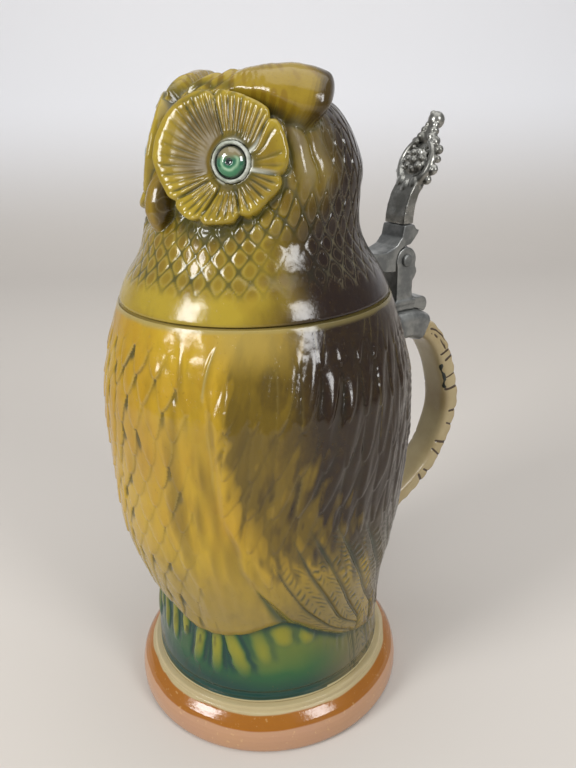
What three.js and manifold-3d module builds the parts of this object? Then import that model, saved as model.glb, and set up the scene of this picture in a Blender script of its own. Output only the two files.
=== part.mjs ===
import * as THREE from "three";
import { mergeVertices } from "three/addons/utils/BufferGeometryUtils.js";
import Module from "manifold-3d";

// Owl stein in millimetres, +Z up. The owl looks along -Y, its left side is +X, and the handle and the
// lid's hinge are at +Y. The origin is on the vessel's axis, at the flat underside.

// Vessel. The shares of the outlines further down are of seamHeight and bodyRadius.
const seamHeight = 175;
const bodyRadius = 61;
const wallThickness = 5.6;
const floorThickness = 6;
const spigotStep = 6.1;
const footBead = 2.2;
const rimRounding = 1.1;
const wingRise = 1.3;
const bellyRounding = 7;
const bellyLip = 0.6;
const floorRounding = 4;
const softCorner = 0.5;

// Foot ring
const ringFlare = 7.8;
const ringHeight = 18;
const ringPlate = 5;
const ringLip = 0.9;
const ringFit = 0.8;
const ringSoftEdge = 1.4;

// Head
const headTall = 73.3;
const rimStep = 0.2;
const headWall = 5;
const flangeDepth = 7;
const flangeFit = 1;
const flangeWall = 3.4;
const faceDip = 5;
const faceHalf = THREE.MathUtils.degToRad(17);
const faceSwing = THREE.MathUtils.degToRad(24);
const faceInset = 2.4;
const faceSoftness = 1.6;
const softEdge = 1;

// Faces and beak
const eyeRise = 48.7;
const eyeProud = 1;
const eyeSwing = THREE.MathUtils.degToRad(50.2);
const eyeLook = THREE.MathUtils.degToRad(40);
const eyeLean = THREE.MathUtils.degToRad(9);
const discArc = 40;
const discDepth = 15.4;
const petalRise = 3;
const petalGroove = 1.3;
const petalScallopShare = 0.06;
const petalCount = 9;
const browLift = 1.8;
const browHalfWidth = 9.6;
const browHalfThickness = 6;
const beakRise = 24.1;
const beakSink = 15.4;
const beakLength = 24.6;
const beakHalfWidth = 5.9;
const beakLean = 3.4;

// Eyes
const beadRadius = 4.8;
const beadDome = 2.5;
const beadDepth = 2;
const cementRadius = 6.3;
const cementProud = 0.5;
const pocketDepth = 2.4;
const eyeSeat = 1.26;

// Handle
const handleReach = 44.2;
const handleTall = 97.8;
const handleDrop = 27.2;
const handleHalfWidth = 8;
const handleHalfThickness = 4.7;
const handleSquareness = 0.55;

// Pewter post, strap and pin
const cuffWall = 1.5;
const cuffSlack = 0.25;
const cuffFront = 5.5;
const cuffBack = 11;
const pivotOut = 21.6;
const pivotRise = 1.5;
const lugRadius = 5.5;
const lugInner = 3;
const lugOuter = 6.3;
const knuckleRadius = 6.3;
const slotRadius = 6.9;
const pinRadius = 2.1;
const pinHeadRadius = 2.7;
const pinHeadLength = 0.9;
const postHalf = 4.5;
const shoulderRise = 10.8;
const shoulderOut = 1.2;
const bumpOut = 6.2;
const bumpDrop = 5.3;
const bumpHalfHeight = 3.6;
const knobOut = 10.6;
const knobRise = 7.2;
const knobRadius = 3.7;
const knobHalfWidth = 5.2;
const strapHalfWidth = 6.6;
const strapRise = 14.7;
const tangRadius = 2.6;
const tangRise = 4;
const anchorRadius = 7;
const anchorThickness = 1.8;
const anchorSlack = 0.5;
const rivetRadius = 4;

// Thumblift
const thumbTall = 39.5;
const thumbReach = 17.6;
const thumbLean = THREE.MathUtils.degToRad(27);
const shankHalfWidth = 6;
const budRadius = 3.8;
const plateHalfWidth = 11.5;
const plateHalfHeight = 12.5;
const plateHalfThickness = 3.2;
const collarHalfWidth = 6.6;
const scrollRadius = 4.2;
const rosetteRadius = 5.6;
const rosetteHalfDepth = 3;

// Fits
const seat = 0.3;
const pinFit = 0.08;
const slotFit = 0.35;

// Steps round and along
const bodyTurns = 60;
const headTurns = 40;
const hollowTurns = 28;
const ringTurns = 52;
const fineTurns = 20;
const blobTurns = 11;
const blobRows = 6;

const wasm = await Module();
wasm.setup();

const quarter = Math.PI / 2;
const turn = Math.PI * 2;
const half = 1 / 2;
const fineSkin = seat / 1000;
const coarseSkin = seat / 5;

function clamped(value) {
  return Math.min(1, Math.max(0, value));
}

function eased(value) {
  const s = clamped(value);
  return s * s * (1 + 2 * (1 - s));
}

// Value at x on a line of [x, value] pairs.
function along(pairs, x) {
  if (x <= pairs[0][0]) return pairs[0][1];
  for (let i = 1; i < pairs.length; i += 1) {
    if (x <= pairs[i][0]) {
      const share = (x - pairs[i - 1][0]) / (pairs[i][0] - pairs[i - 1][0]);
      return THREE.MathUtils.lerp(pairs[i - 1][1], pairs[i][1], share);
    }
  }
  return pairs[pairs.length - 1][1];
}

function smoothLine(pairs, steps) {
  const curve = new THREE.CatmullRomCurve3(
    pairs.map(([a, b]) => new THREE.Vector3(0, a, b)),
    false,
    "centripetal",
  );
  return curve.getPoints(steps).map((p) => [p.y, p.z]);
}

// Point on a turned surface: azimuth 0 is the owl's front, a quarter turn is its left.
function turned(azimuth, radius, height) {
  return new THREE.Vector3(radius * Math.sin(azimuth), -radius * Math.cos(azimuth), height);
}

// One closed skin through equal rings of points, with a point at each end.
function skin(first, rings, last) {
  const count = rings[0].length;
  const points = [first, ...rings.flat(), last];
  const faces = [];
  const at = (row, column) => 1 + row * count + (column % count);
  for (let j = 0; j < count; j += 1) {
    faces.push(0, at(0, j + 1), at(0, j));
    faces.push(at(rings.length - 1, j), at(rings.length - 1, j + 1), points.length - 1);
    for (let i = 0; i + 1 < rings.length; i += 1) {
      faces.push(at(i, j), at(i, j + 1), at(i + 1, j + 1));
      faces.push(at(i, j), at(i + 1, j + 1), at(i + 1, j));
    }
  }
  const geometry = new THREE.BufferGeometry();
  const flat = new Float32Array(points.flatMap((p) => [p.x, p.y, p.z]));
  geometry.setAttribute("position", new THREE.BufferAttribute(flat, 3));
  geometry.setIndex(faces);
  return solid(geometry);
}

function solid(geometry) {
  const bare = geometry.clone();
  bare.deleteAttribute("normal");
  bare.deleteAttribute("uv");
  const merged = mergeVertices(bare, fineSkin);
  const build = (order) =>
    new wasm.Manifold(
      new wasm.Mesh({
        numProp: 3,
        vertProperties: merged.attributes.position.array,
        triVerts: new Uint32Array(order),
      }),
    );
  const order = Array.from(merged.index.array);
  const made = build(order);
  if (made.volume() > 0) return made;
  const reversed = [];
  for (let i = 0; i < order.length; i += 3) reversed.push(order[i], order[i + 2], order[i + 1]);
  return build(reversed);
}

function drawn(manifold, name, finish) {
  const mesh = manifold.getMesh();
  const geometry = new THREE.BufferGeometry();
  const points = new Float32Array(mesh.numVert * 3);
  for (let i = 0; i < mesh.numVert; i += 1) {
    for (let k = 0; k < 3; k += 1) points[i * 3 + k] = mesh.vertProperties[i * mesh.numProp + k];
  }
  geometry.setAttribute("position", new THREE.BufferAttribute(points, 3));
  geometry.setIndex(Array.from(mesh.triVerts));
  const made = new THREE.Mesh(geometry, new THREE.MeshStandardMaterial(finish));
  made.name = name;
  return made;
}

// Turned solid from [radius, height] pairs that start and end on the axis.
function turnedSolid(pairs, turns) {
  const rings = pairs.slice(1, -1).map(([radius, height]) =>
    Array.from({ length: turns }, (_, j) => turned((j * turn) / turns, radius, height)),
  );
  return skin(turned(0, 0, pairs[0][1]), rings, turned(0, 0, pairs[pairs.length - 1][1]));
}

// Flat outline in the [y, z] plane, made thick from x = from to x = to.
function plank(outline, from, to) {
  const shape = new THREE.Shape(outline.map(([y, z]) => new THREE.Vector2(y, z)));
  const geometry = new THREE.ExtrudeGeometry(shape, { depth: to - from, bevelEnabled: false });
  const basis = new THREE.Matrix4().makeBasis(
    new THREE.Vector3(0, 1, 0),
    new THREE.Vector3(0, 0, 1),
    new THREE.Vector3(1, 0, 0),
  );
  geometry.applyMatrix4(basis);
  geometry.translate(from, 0, 0);
  return solid(geometry);
}

function discOutline(y, z, radius, steps = fineTurns) {
  return Array.from({ length: steps }, (_, i) => {
    const angle = (i * turn) / steps;
    return [y + radius * Math.cos(angle), z + radius * Math.sin(angle)];
  });
}

// Oval lump with half sizes along x, along its own lean and through it.
function lump(x, y, z, halfX, halfUp, halfThrough, lean = 0, turns = blobTurns, rows = blobRows) {
  const place = (px, pu, pt) =>
    new THREE.Vector3(
      x + px,
      y + pu * Math.sin(lean) + pt * Math.cos(lean),
      z + pu * Math.cos(lean) - pt * Math.sin(lean),
    );
  const rings = [];
  for (let i = 1; i < rows; i += 1) {
    const up = -quarter + (i * Math.PI) / rows;
    rings.push(
      Array.from({ length: turns }, (_, j) => {
        const round = (j * turn) / turns;
        return place(
          halfX * Math.cos(up) * Math.cos(round),
          halfUp * Math.sin(up),
          halfThrough * Math.cos(up) * Math.sin(round),
        );
      }),
    );
  }
  return skin(place(0, -halfUp, 0), rings, place(0, halfUp, 0));
}

function joined(list) {
  return list.reduce((whole, piece) => whole.add(piece));
}

// Shares of the seam's height and of the widest radius, up the owl's front and up its wings.
const chestShares = [
  [0.229, 0.79],
  [0.286, 0.82],
  [0.331, 0.842],
  [0.411, 0.915],
  [0.491, 0.972],
  [0.571, 0.989],
  [0.657, 0.99],
  [0.743, 1],
  [0.829, 0.986],
  [0.914, 0.927],
  [0.96, 0.884],
  [1, 0.836],
];
const wingShares = [
  [0.114, 0.815],
  [0.183, 0.809],
  [0.251, 0.817],
  [0.331, 0.844],
  [0.411, 0.902],
  [0.491, 0.941],
  [0.571, 0.972],
  [0.657, 0.99],
  [0.743, 0.998],
  [0.829, 0.988],
  [0.914, 0.925],
  [0.96, 0.885],
  [1, 0.836],
];
const footShares = [
  [0.105, 0.811],
  [0.16, 0.798],
  [0.22, 0.778],
  [0.27, 0.764],
  [0.34, 0.757],
];
// The inside, before the wall is taken off.
const insideShares = [
  [0.1, 0.775],
  [0.2, 0.765],
  [0.3, 0.757],
  [0.36, 0.78],
  [0.45, 0.862],
  [0.53, 0.935],
  [0.62, 0.972],
  [0.743, 0.99],
  [0.829, 0.975],
  [0.914, 0.912],
  [0.96, 0.872],
  [1, 0.836],
];
// Degrees from the front against shares of the seam's height: the feathers' lower edge.
const hemShares = [
  [0, 0.326],
  [12, 0.307],
  [20, 0.284],
  [29, 0.277],
  [39, 0.282],
  [48, 0.29],
  [57, 0.314],
  [64, 0.327],
  [70, 0.318],
  [82, 0.275],
  [97, 0.232],
  [108, 0.208],
  [125, 0.182],
  [150, 0.165],
  [180, 0.16],
];
// Shares of the seam's height against degrees from the front: the wing's leading edge.
const wingEdgeShares = [
  [0.34, 67],
  [0.431, 57.6],
  [0.513, 51],
  [0.576, 47.6],
  [0.68, 44.1],
  [0.765, 42.2],
  [0.845, 41.4],
  [0.906, 42.2],
  [0.96, 45.5],
  [1, 49.5],
];
const columnDegrees = [
  0, 8, 16, 24, 32, 39, 43.5, 45.5, 48.5, 54, 62, 70, 78, 86, 94, 102, 110, 118, 126, 134, 142, 150,
  158, 166, 173, 180,
];
const wingStart = 45;
const wingSlope = 4;
const wingFade = 75;
const frontDegrees = 35;
const sideDegrees = 80;
const backDegrees = 180;
const footRows = [0.3, 0.62, 0.86];
const hemRows = [0, 0.012, 0.035, 0.075, 0.13];
const upperRows = [0.21, 0.32, 0.44, 0.56, 0.68, 0.78, 0.86, 0.93];
const cavityShares = [0.12, 0.26, 0.34, 0.42, 0.52, 0.62, 0.76, 0.88, 0.95];
const footRadius = bodyRadius * footShares[0][1];
const spigotRadius = footRadius - spigotStep;
const rimRadius = bodyRadius * wingShares[wingShares.length - 1][1];
const vesselBase = ringPlate + seat;
const vesselStep = ringHeight + seat;
const rimHeight = seamHeight - seat;

function bodyOut(degrees, height) {
  const share = height / seamHeight;
  const side = eased((degrees - frontDegrees) / (sideDegrees - frontDegrees));
  return bodyRadius * THREE.MathUtils.lerp(along(chestShares, share), along(wingShares, share), side);
}

function hemHeight(degrees) {
  return seamHeight * along(hemShares, degrees);
}

function wingEdge(height) {
  return along(wingEdgeShares, height / seamHeight);
}

// The vessel's outside radius; degrees are measured from the front towards either side.
function bodySurface(degrees, height) {
  const foot = bodyRadius * along(footShares, height / seamHeight);
  const hem = hemHeight(degrees);
  if (height <= hem) return foot;
  const shoulder = clamped((height - hem + bellyLip) / bellyRounding);
  const bulge = Math.sqrt(1 - (1 - shoulder) * (1 - shoulder));
  const past = degrees - wingEdge(height);
  const rise = wingRise * (1 - eased((past - wingSlope) / wingFade)) * eased(past / wingSlope);
  const top = clamped((seamHeight - height) / bellyRounding);
  const full = bodyOut(degrees, height) + rise * top * shoulder - (wingRise / 2) * top * shoulder;
  return THREE.MathUtils.lerp(foot, Math.max(full, foot), bulge);
}

function vesselColumns() {
  const oneSide = columnDegrees.slice(0, -1);
  const otherSide = columnDegrees.slice(1).reverse();
  return [
    ...oneSide.map((degrees) => ({ degrees, side: 1 })),
    ...otherSide.map((degrees) => ({ degrees, side: -1 })),
  ];
}

// Columns bend so that one of them follows the wing's leading edge.
function bentDegrees(degrees, height) {
  const edge = wingEdge(height);
  if (degrees < wingStart) return (degrees / wingStart) * edge;
  return edge + ((degrees - wingStart) / (backDegrees - wingStart)) * (backDegrees - edge);
}

function vesselRing(heightOf, radiusOf) {
  return vesselColumns().map(({ degrees, side }) => {
    const straight = heightOf(degrees);
    const bent = bentDegrees(degrees, straight);
    const height = heightOf(bent);
    const azimuth = THREE.MathUtils.degToRad(bent) * side;
    return turned(azimuth, radiusOf(bent, height), height);
  });
}

function vesselSolid(extra) {
  const outer = (degrees, height) => bodySurface(degrees, height) + extra;
  const inner = (degrees, height) =>
    bodyRadius * along(insideShares, height / seamHeight) - wallThickness;
  const floorHeight = vesselBase + floorThickness;
  const footTop = vesselStep + footBead;
  const rings = [
    vesselRing(() => vesselBase, () => spigotRadius + extra),
    vesselRing(() => vesselStep, () => spigotRadius + extra),
    vesselRing(() => vesselStep, () => footRadius - softCorner + extra),
    vesselRing(() => vesselStep + footBead / 2, () => footRadius + softCorner / 2 + extra),
    vesselRing(() => footTop, () => footRadius - softCorner + extra),
  ];
  footRows.forEach((share) => {
    rings.push(
      vesselRing((degrees) => THREE.MathUtils.lerp(footTop, hemHeight(degrees), share), outer),
    );
  });
  [...hemRows, ...upperRows].forEach((share) => {
    const heightOf = (degrees) => THREE.MathUtils.lerp(hemHeight(degrees), rimHeight, share);
    rings.push(vesselRing(heightOf, outer));
  });
  const rimInner = rimRadius - wallThickness;
  rings.push(vesselRing(() => rimHeight - rimRounding, () => rimRadius + extra));
  rings.push(vesselRing(() => rimHeight, () => rimRadius - rimRounding + extra));
  rings.push(vesselRing(() => rimHeight, () => rimInner + rimRounding / 2));
  rings.push(vesselRing(() => rimHeight - rimRounding, () => rimInner + rimRounding / 4));
  const cavityFoot = floorHeight + floorRounding;
  [...cavityShares].reverse().forEach((share) => {
    const height = THREE.MathUtils.lerp(cavityFoot, rimHeight, share);
    rings.push(vesselRing(() => height, inner));
  });
  const lower = Math.min(inner(0, cavityFoot), spigotRadius - wallThickness / 2);
  rings.push(vesselRing(() => cavityFoot, () => lower));
  rings.push(vesselRing(() => floorHeight + rimRounding, () => lower - rimRounding));
  rings.push(vesselRing(() => floorHeight, () => lower - floorRounding));
  return skin(turned(0, 0, vesselBase), rings, turned(0, 0, floorHeight));
}

const vessel = vesselSolid(0);
const vesselRoom = vesselSolid(seat);

// The foot ring's height in shares against shares of its flare.
const ringShares = [
  [0.34, 1],
  [0.5, 0.91],
  [0.66, 0.72],
  [0.8, 0.45],
  [0.9, 0.22],
  [0.95, 0.1],
  [1, 0],
];
const ringTop = footRadius + ringLip;
const ringRadius = ringTop + ringFlare;
const ringHollow = spigotRadius + ringFit;
const footRing = turnedSolid(
  [
    [0, 0],
    [ringRadius - ringSoftEdge, 0],
    [ringRadius, ringSoftEdge],
    ...ringShares.map(([up, out]) => [ringTop + ringFlare * out, ringHeight * up]),
    [ringHollow, ringHeight],
    [ringHollow, ringPlate],
    [0, ringPlate],
  ],
  ringTurns,
);

// Shares of the head's height above the seam and of its base radius.
const headShares = [
  [0, 1],
  [0.075, 0.955],
  [0.14, 0.902],
  [0.195, 0.846],
  [0.26, 0.8],
  [0.32, 0.776],
  [0.4, 0.768],
  [0.48, 0.772],
  [0.55, 0.781],
  [0.61, 0.778],
  [0.66, 0.76],
  [0.72, 0.731],
  [0.77, 0.695],
  [0.82, 0.65],
  [0.865, 0.59],
  [0.91, 0.505],
  [0.95, 0.4],
  [0.98, 0.25],
];
// Shares of the head's height against shares of its base radius: how far the disc stands out.
const discShares = [
  [0.402, 0.785],
  [0.545, 0.812],
  [0.669, 0.815],
  [0.774, 0.782],
  [0.855, 0.738],
  [0.951, 0.665],
];
// Shares of the head's height against shares of its base radius: from the axis to the two flat sides of
// the face.
const flatShares = [
  [0.2, 1.1],
  [0.36, 0.82],
  [0.446, 0.76],
  [0.542, 0.713],
  [0.664, 0.685],
  [0.76, 0.648],
  [0.869, 0.587],
  [0.944, 0.524],
  [1.019, 0.437],
  [1.07, 0.299],
  [1.087, 0.177],
];
const leastShare = 0.2;
const headLow = seamHeight + seat;
const headTop = headLow + headTall;
const headBase = rimRadius - rimStep;
const flangeRadius = rimRadius - wallThickness - flangeFit;
const flangeHollow = flangeRadius - flangeWall;
const eyeHeight = headLow + eyeRise;
const eyeReach = heldBack(discReach(eyeHeight), eyeSwing, eyeHeight) + eyeProud;
const hollowTopShare = 1.2;

function skullPair([up, out]) {
  return [headBase * out, headLow + headTall * up];
}

const skullPairs = [
  [0, headLow - flangeDepth],
  [flangeHollow, headLow - flangeDepth],
  [flangeRadius - softEdge / 2, headLow - flangeDepth],
  [flangeRadius, headLow - flangeDepth + softEdge],
  [flangeRadius, headLow],
  [headBase - softEdge / 2, headLow],
  [headBase, headLow + softEdge],
  ...headShares.slice(1).map(skullPair),
  [0, headTop],
];
const hollowPairs = [
  [0, headLow - flangeDepth - softEdge],
  [flangeHollow, headLow - flangeDepth - softEdge],
  [flangeHollow, headLow],
  ...headShares
    .filter(([up], i) => up > 0.1 && i % 2 === 0)
    .map(skullPair)
    .map(([radius, height]) => [
      hollowAt(radius, height),
      height - headWall * clamped((height - eyeHeight) / (headTop - eyeHeight)),
    ]),
  [0, headTop - headWall * hollowTopShare],
];

// The hollow's radius inside a given outer radius.
function hollowAt(radius, height) {
  return Math.min(radius - headWall, flangeHollow) - faceDip * thinning(height);
}

function discReach(height) {
  return headBase * along(discShares, (height - headLow) / headTall);
}

// A reach held back, softly, to the flat side of the face that it would pass.
function heldBack(reach, azimuth, height, inset = 0) {
  const across = Math.max(Math.cos(Math.abs(azimuth) - faceSwing), leastShare);
  const flat = headBase * along(flatShares, (height - headLow) / headTall);
  const limit = (flat - inset) / across;
  return (reach + limit - Math.hypot(reach - limit, faceSoftness)) / 2;
}

// The face lies back between and under the discs of petals.
function thinning(height) {
  const share = (height - headLow) / headTall;
  return eased((share - 0.306) / 0.12) * (1 - eased((share - 0.784) / 0.166));
}

function skullSolid(extra) {
  const rings = skullPairs.slice(1, -1).map(([radius, height]) =>
    Array.from({ length: headTurns }, (_, j) => {
      const round = (j * turn) / headTurns;
      const azimuth = round > Math.PI ? round - turn : round;
      const front = 1 - eased((Math.abs(azimuth) - faceHalf) / faceHalf);
      const dip = faceDip * front * thinning(height);
      const behind = faceInset * eased(((height - headLow) / headTall - 0.4) / 0.1);
      const reach = heldBack(radius - dip, azimuth, height, behind);
      const lift = height < headLow + softEdge ? -extra : extra;
      return turned(azimuth, reach + extra, height + lift);
    }),
  );
  return skin(
    turned(0, 0, skullPairs[0][1] - extra),
    rings,
    turned(0, 0, skullPairs[skullPairs.length - 1][1] + extra),
  );
}

function faceBasis(side) {
  const look = eyeLook * side;
  const normal = new THREE.Vector3(
    Math.sin(look) * Math.cos(eyeLean),
    -Math.cos(look) * Math.cos(eyeLean),
    Math.sin(eyeLean),
  );
  const across = new THREE.Vector3(Math.cos(look), Math.sin(look), 0);
  const up = new THREE.Vector3().crossVectors(across, normal).multiplyScalar(-1);
  const middle = turned(eyeSwing * side, eyeReach - petalRise, eyeHeight);
  return { normal, across, up, middle };
}

function onFace({ normal, across, up, middle }, radius, angle, rise) {
  return middle
    .clone()
    .addScaledVector(across, radius * Math.cos(angle))
    .addScaledVector(up, radius * Math.sin(angle))
    .addScaledVector(normal, rise);
}

// Degrees round the eye, from the beak's side over the top, against shares of the disc's arc: its rim.
const rimShares = [
  [0, 0.86],
  [11, 0.885],
  [22, 0.89],
  [30, 0.85],
  [39, 0.77],
  [52, 0.66],
  [65, 0.565],
  [87, 0.505],
  [110, 0.489],
  [142, 0.501],
  [170, 0.471],
  [198, 0.427],
  [224, 0.398],
  [259, 0.433],
  [287, 0.492],
  [323, 0.652],
  [343, 0.751],
  [354, 0.82],
  [360, 0.86],
];
// A disc of petals round the eye that follows the head's curve.
function petalDisc(side) {
  const turns = petalCount * 4;
  const rowShares = [0.3, 0.42, 0.6, 0.8, 1];
  const riseShares = [0.25, 0.6, 0.97, 0.95, 0.3];
  const onHead = (share, angle, rise) => {
    const rim = discArc * along(rimShares, THREE.MathUtils.radToDeg(angle));
    const lobe = Math.abs(Math.cos((angle * petalCount) / 2));
    const radius = rim * share * (1 - petalScallopShare * (1 - lobe) * share);
    const height = eyeHeight + radius * Math.sin(angle);
    const azimuth = eyeSwing - (radius * Math.cos(angle)) / discArc;
    const groove = petalGroove * eased(1 - lobe * 2) * share;
    const reach = heldBack(discReach(height), azimuth, height);
    return turned(azimuth * side, reach + (rise - 1) * petalRise - groove, height);
  };
  const ring = (share, rise) =>
    Array.from({ length: turns }, (_, j) => onHead(share, (j * turn) / turns, rise));
  const fronts = rowShares.map((share, i) => ring(share, riseShares[i])).reverse();
  const backReach = eyeReach - discDepth;
  const back = fronts[0].map((p) => {
    const reach = Math.hypot(p.x, p.y);
    const skullReach = headBase * along(headShares, (p.z - headLow) / headTall);
    const foot = Math.min(backReach, skullReach - headWall / 2);
    return new THREE.Vector3((p.x * foot) / reach, (p.y * foot) / reach, p.z);
  });
  const middle = turned(eyeSwing * side, backReach, eyeHeight);
  return skin(middle, [back, ...fronts], onHead(0, 0, 0.1));
}

// A smooth cushion that runs from the crown over the eye to a blunt tip at the side. Degrees from the
// front, shares of the base radius and of the brow's height, tilt of its top, and shares of its half sizes.
const browStations = [
  { degrees: 17, outShare: 0.58, upShare: 0.868, tilt: 35, wideShare: 0.31, thickShare: 0.42 },
  { degrees: 23, outShare: 0.53, upShare: 0.915, tilt: 45, wideShare: 0.5, thickShare: 0.52 },
  { degrees: 36, outShare: 0.46, upShare: 0.942, tilt: 60, wideShare: 0.62, thickShare: 0.52 },
  { degrees: 56, outShare: 0.455, upShare: 0.95, tilt: 62, wideShare: 0.7, thickShare: 0.6 },
  { degrees: 74, outShare: 0.525, upShare: 0.944, tilt: 55, wideShare: 0.86, thickShare: 0.86 },
  { degrees: 85, outShare: 0.604, upShare: 0.924, tilt: 46, wideShare: 1.04, thickShare: 1.08 },
  { degrees: 92.5, outShare: 0.674, upShare: 0.902, tilt: 38, wideShare: 1.05, thickShare: 1.1 },
  { degrees: 97, outShare: 0.735, upShare: 0.891, tilt: 32, wideShare: 0.92, thickShare: 0.95 },
];
const browEnds = [
  { degrees: 15, outShare: 0.6, upShare: 0.85 },
  { degrees: 99.4, outShare: 0.79, upShare: 0.886 },
];
const browSteps = 12;
const browRootShare = 1.9;
const browTall = headTall + browLift;

function brow(side) {
  const centre = ({ degrees, outShare, upShare }) =>
    turned(
      THREE.MathUtils.degToRad(degrees) * side,
      headBase * outShare,
      headLow + browTall * upShare,
    );
  const path = [browEnds[0], ...browStations, browEnds[1]].map(centre);
  const rings = browStations.map((station, i) => {
    const azimuth = THREE.MathUtils.degToRad(station.degrees) * side;
    const tilt = THREE.MathUtils.degToRad(station.tilt);
    const ahead = path[i + 2].clone().sub(path[i]).normalize();
    const top = turned(azimuth, Math.cos(tilt), Math.sin(tilt));
    const broad = new THREE.Vector3().crossVectors(ahead, top).normalize();
    const out = new THREE.Vector3().crossVectors(broad, ahead);
    return Array.from({ length: browSteps }, (_, j) => {
      const angle = (j * turn) / browSteps;
      const through = Math.sin(angle) * (Math.sin(angle) < 0 ? browRootShare : 1);
      const p = path[i + 1]
        .clone()
        .addScaledVector(broad, browHalfWidth * station.wideShare * Math.cos(angle))
        .addScaledVector(out, browHalfThickness * station.thickShare * through);
      const reach = Math.hypot(p.x, p.y);
      const held = heldBack(reach, Math.atan2(p.x, -p.y), p.z);
      return new THREE.Vector3((p.x * held) / reach, (p.y * held) / reach, p.z);
    });
  });
  return skin(path[0], rings, path[path.length - 1]);
}

const beakShares = [
  [0, 0],
  [0.02, 0.2],
  [0.09, 0.52],
  [0.2, 0.82],
  [0.33, 0.98],
  [0.48, 1],
  [0.64, 0.88],
  [0.8, 0.62],
  [0.93, 0.3],
  [1, 0],
];

function beakSolid() {
  const turns = 14;
  const beakReach = headBase - beakSink;
  const beakFoot = headLow + beakRise;
  const rings = beakShares.slice(1, -1).map(([up, out]) =>
    Array.from({ length: turns }, (_, j) => {
      const p = turned((j * turn) / turns, beakHalfWidth * out, beakFoot + beakLength * up);
      p.y -= beakReach - beakLean * up * up;
      return p;
    }),
  );
  const foot = new THREE.Vector3(0, -beakReach, beakFoot);
  const root = new THREE.Vector3(0, beakLean - beakReach, beakFoot + beakLength);
  return skin(foot, rings, root);
}

// Turned about the eye's own axis: pairs of radius and height above the disc's middle.
function eyeTurned(side, pairs, turns) {
  const face = faceBasis(side);
  const rings = pairs.slice(1, -1).map(([radius, rise]) =>
    Array.from({ length: turns }, (_, j) => onFace(face, radius, (j * turn) / turns, rise)),
  );
  return skin(onFace(face, 0, 0, pairs[0][1]), rings, onFace(face, 0, 0, pairs[pairs.length - 1][1]));
}

function pocket(side) {
  const radius = cementRadius + seat;
  return eyeTurned(
    side,
    [
      [0, eyeSeat - pocketDepth],
      [radius, eyeSeat - pocketDepth],
      [radius, eyeSeat + petalRise],
      [0, eyeSeat + petalRise],
    ],
    fineTurns,
  );
}

const domeShares = [
  [0.88, 0.48],
  [0.6, 0.82],
  [0.3, 0.96],
];

function eyeBead(side) {
  const foot = eyeSeat - pocketDepth + seat;
  const girdle = foot + beadDepth;
  return eyeTurned(
    side,
    [
      [0, foot],
      [beadRadius, foot],
      [beadRadius, girdle],
      ...domeShares.map(([out, up]) => [beadRadius * out, girdle + beadDome * up]),
      [0, girdle + beadDome],
    ],
    fineTurns,
  );
}

function cementRing(side) {
  const face = faceBasis(side);
  const foot = eyeSeat - pocketDepth + seat;
  const top = eyeSeat + cementProud;
  const hole = beadRadius + seat;
  const plate = eyeTurned(
    side,
    [
      [0, foot],
      [cementRadius, foot],
      [cementRadius, top - cementProud],
      [cementRadius - cementProud, top],
      [0, top],
    ],
    fineTurns,
  );
  const room = skin(
    onFace(face, 0, 0, foot - petalRise),
    [
      Array.from({ length: fineTurns }, (_, j) =>
        onFace(face, hole, (j * turn) / fineTurns, foot - petalRise),
      ),
      Array.from({ length: fineTurns }, (_, j) =>
        onFace(face, hole, (j * turn) / fineTurns, top + petalRise),
      ),
    ],
    onFace(face, 0, 0, top + petalRise),
  );
  return plate.subtract(room);
}

// Round rod along y.
function rod(radius, from, to, height) {
  const ring = (y) =>
    Array.from({ length: fineTurns }, (_, j) => {
      const angle = (j * turn) / fineTurns;
      return new THREE.Vector3(radius * Math.cos(angle), y, height + radius * Math.sin(angle));
    });
  return skin(
    new THREE.Vector3(0, from, height),
    [ring(from), ring(to)],
    new THREE.Vector3(0, to, height),
  );
}

const skull = skullSolid(0);
const skullRoom = skullSolid(seat);
const hollow = turnedSolid(hollowPairs, hollowTurns);
const tangHeight = headLow + tangRise;
const head = joined([skull, petalDisc(1), petalDisc(-1), brow(1), brow(-1), beakSolid()])
  .subtract(hollow)
  .subtract(pocket(1))
  .subtract(pocket(-1))
  .subtract(rod(tangRadius + seat, flangeHollow - headWall, headBase + headWall, tangHeight))
  .simplify(coarseSkin);

// The handle's middle line: shares of its reach past the body and of its fall below its top. Both ends
// run into the vessel's wall.
const handleShares = [
  [0, 0.018],
  [0.204, 0],
  [0.43, 0.012],
  [0.679, 0.084],
  [0.871, 0.218],
  [0.986, 0.387],
  [1, 0.509],
  [0.905, 0.642],
  [0.747, 0.751],
  [0.509, 0.842],
  [0.226, 0.912],
  [-0.023, 0.959],
];
const handleTop = seamHeight - handleDrop;
const handleEndShares = [0.031, 1];

function wallMiddle(share) {
  const height = handleTop - handleTall * share;
  return [bodyOut(backDegrees, height) - wallThickness / 2, height];
}

const handleLine = smoothLine(
  [
    wallMiddle(handleEndShares[0]),
    ...handleShares.map(([out, down]) => [
      bodyRadius + handleReach * out,
      handleTop - handleTall * down,
    ]),
    wallMiddle(handleEndShares[1]),
  ],
  30,
);

function lineFrame(line, i) {
  const before = line[Math.max(0, i - 1)];
  const after = line[Math.min(line.length - 1, i + 1)];
  const length = Math.hypot(after[0] - before[0], after[1] - before[1]);
  return [(after[0] - before[0]) / length, (after[1] - before[1]) / length];
}

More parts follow.
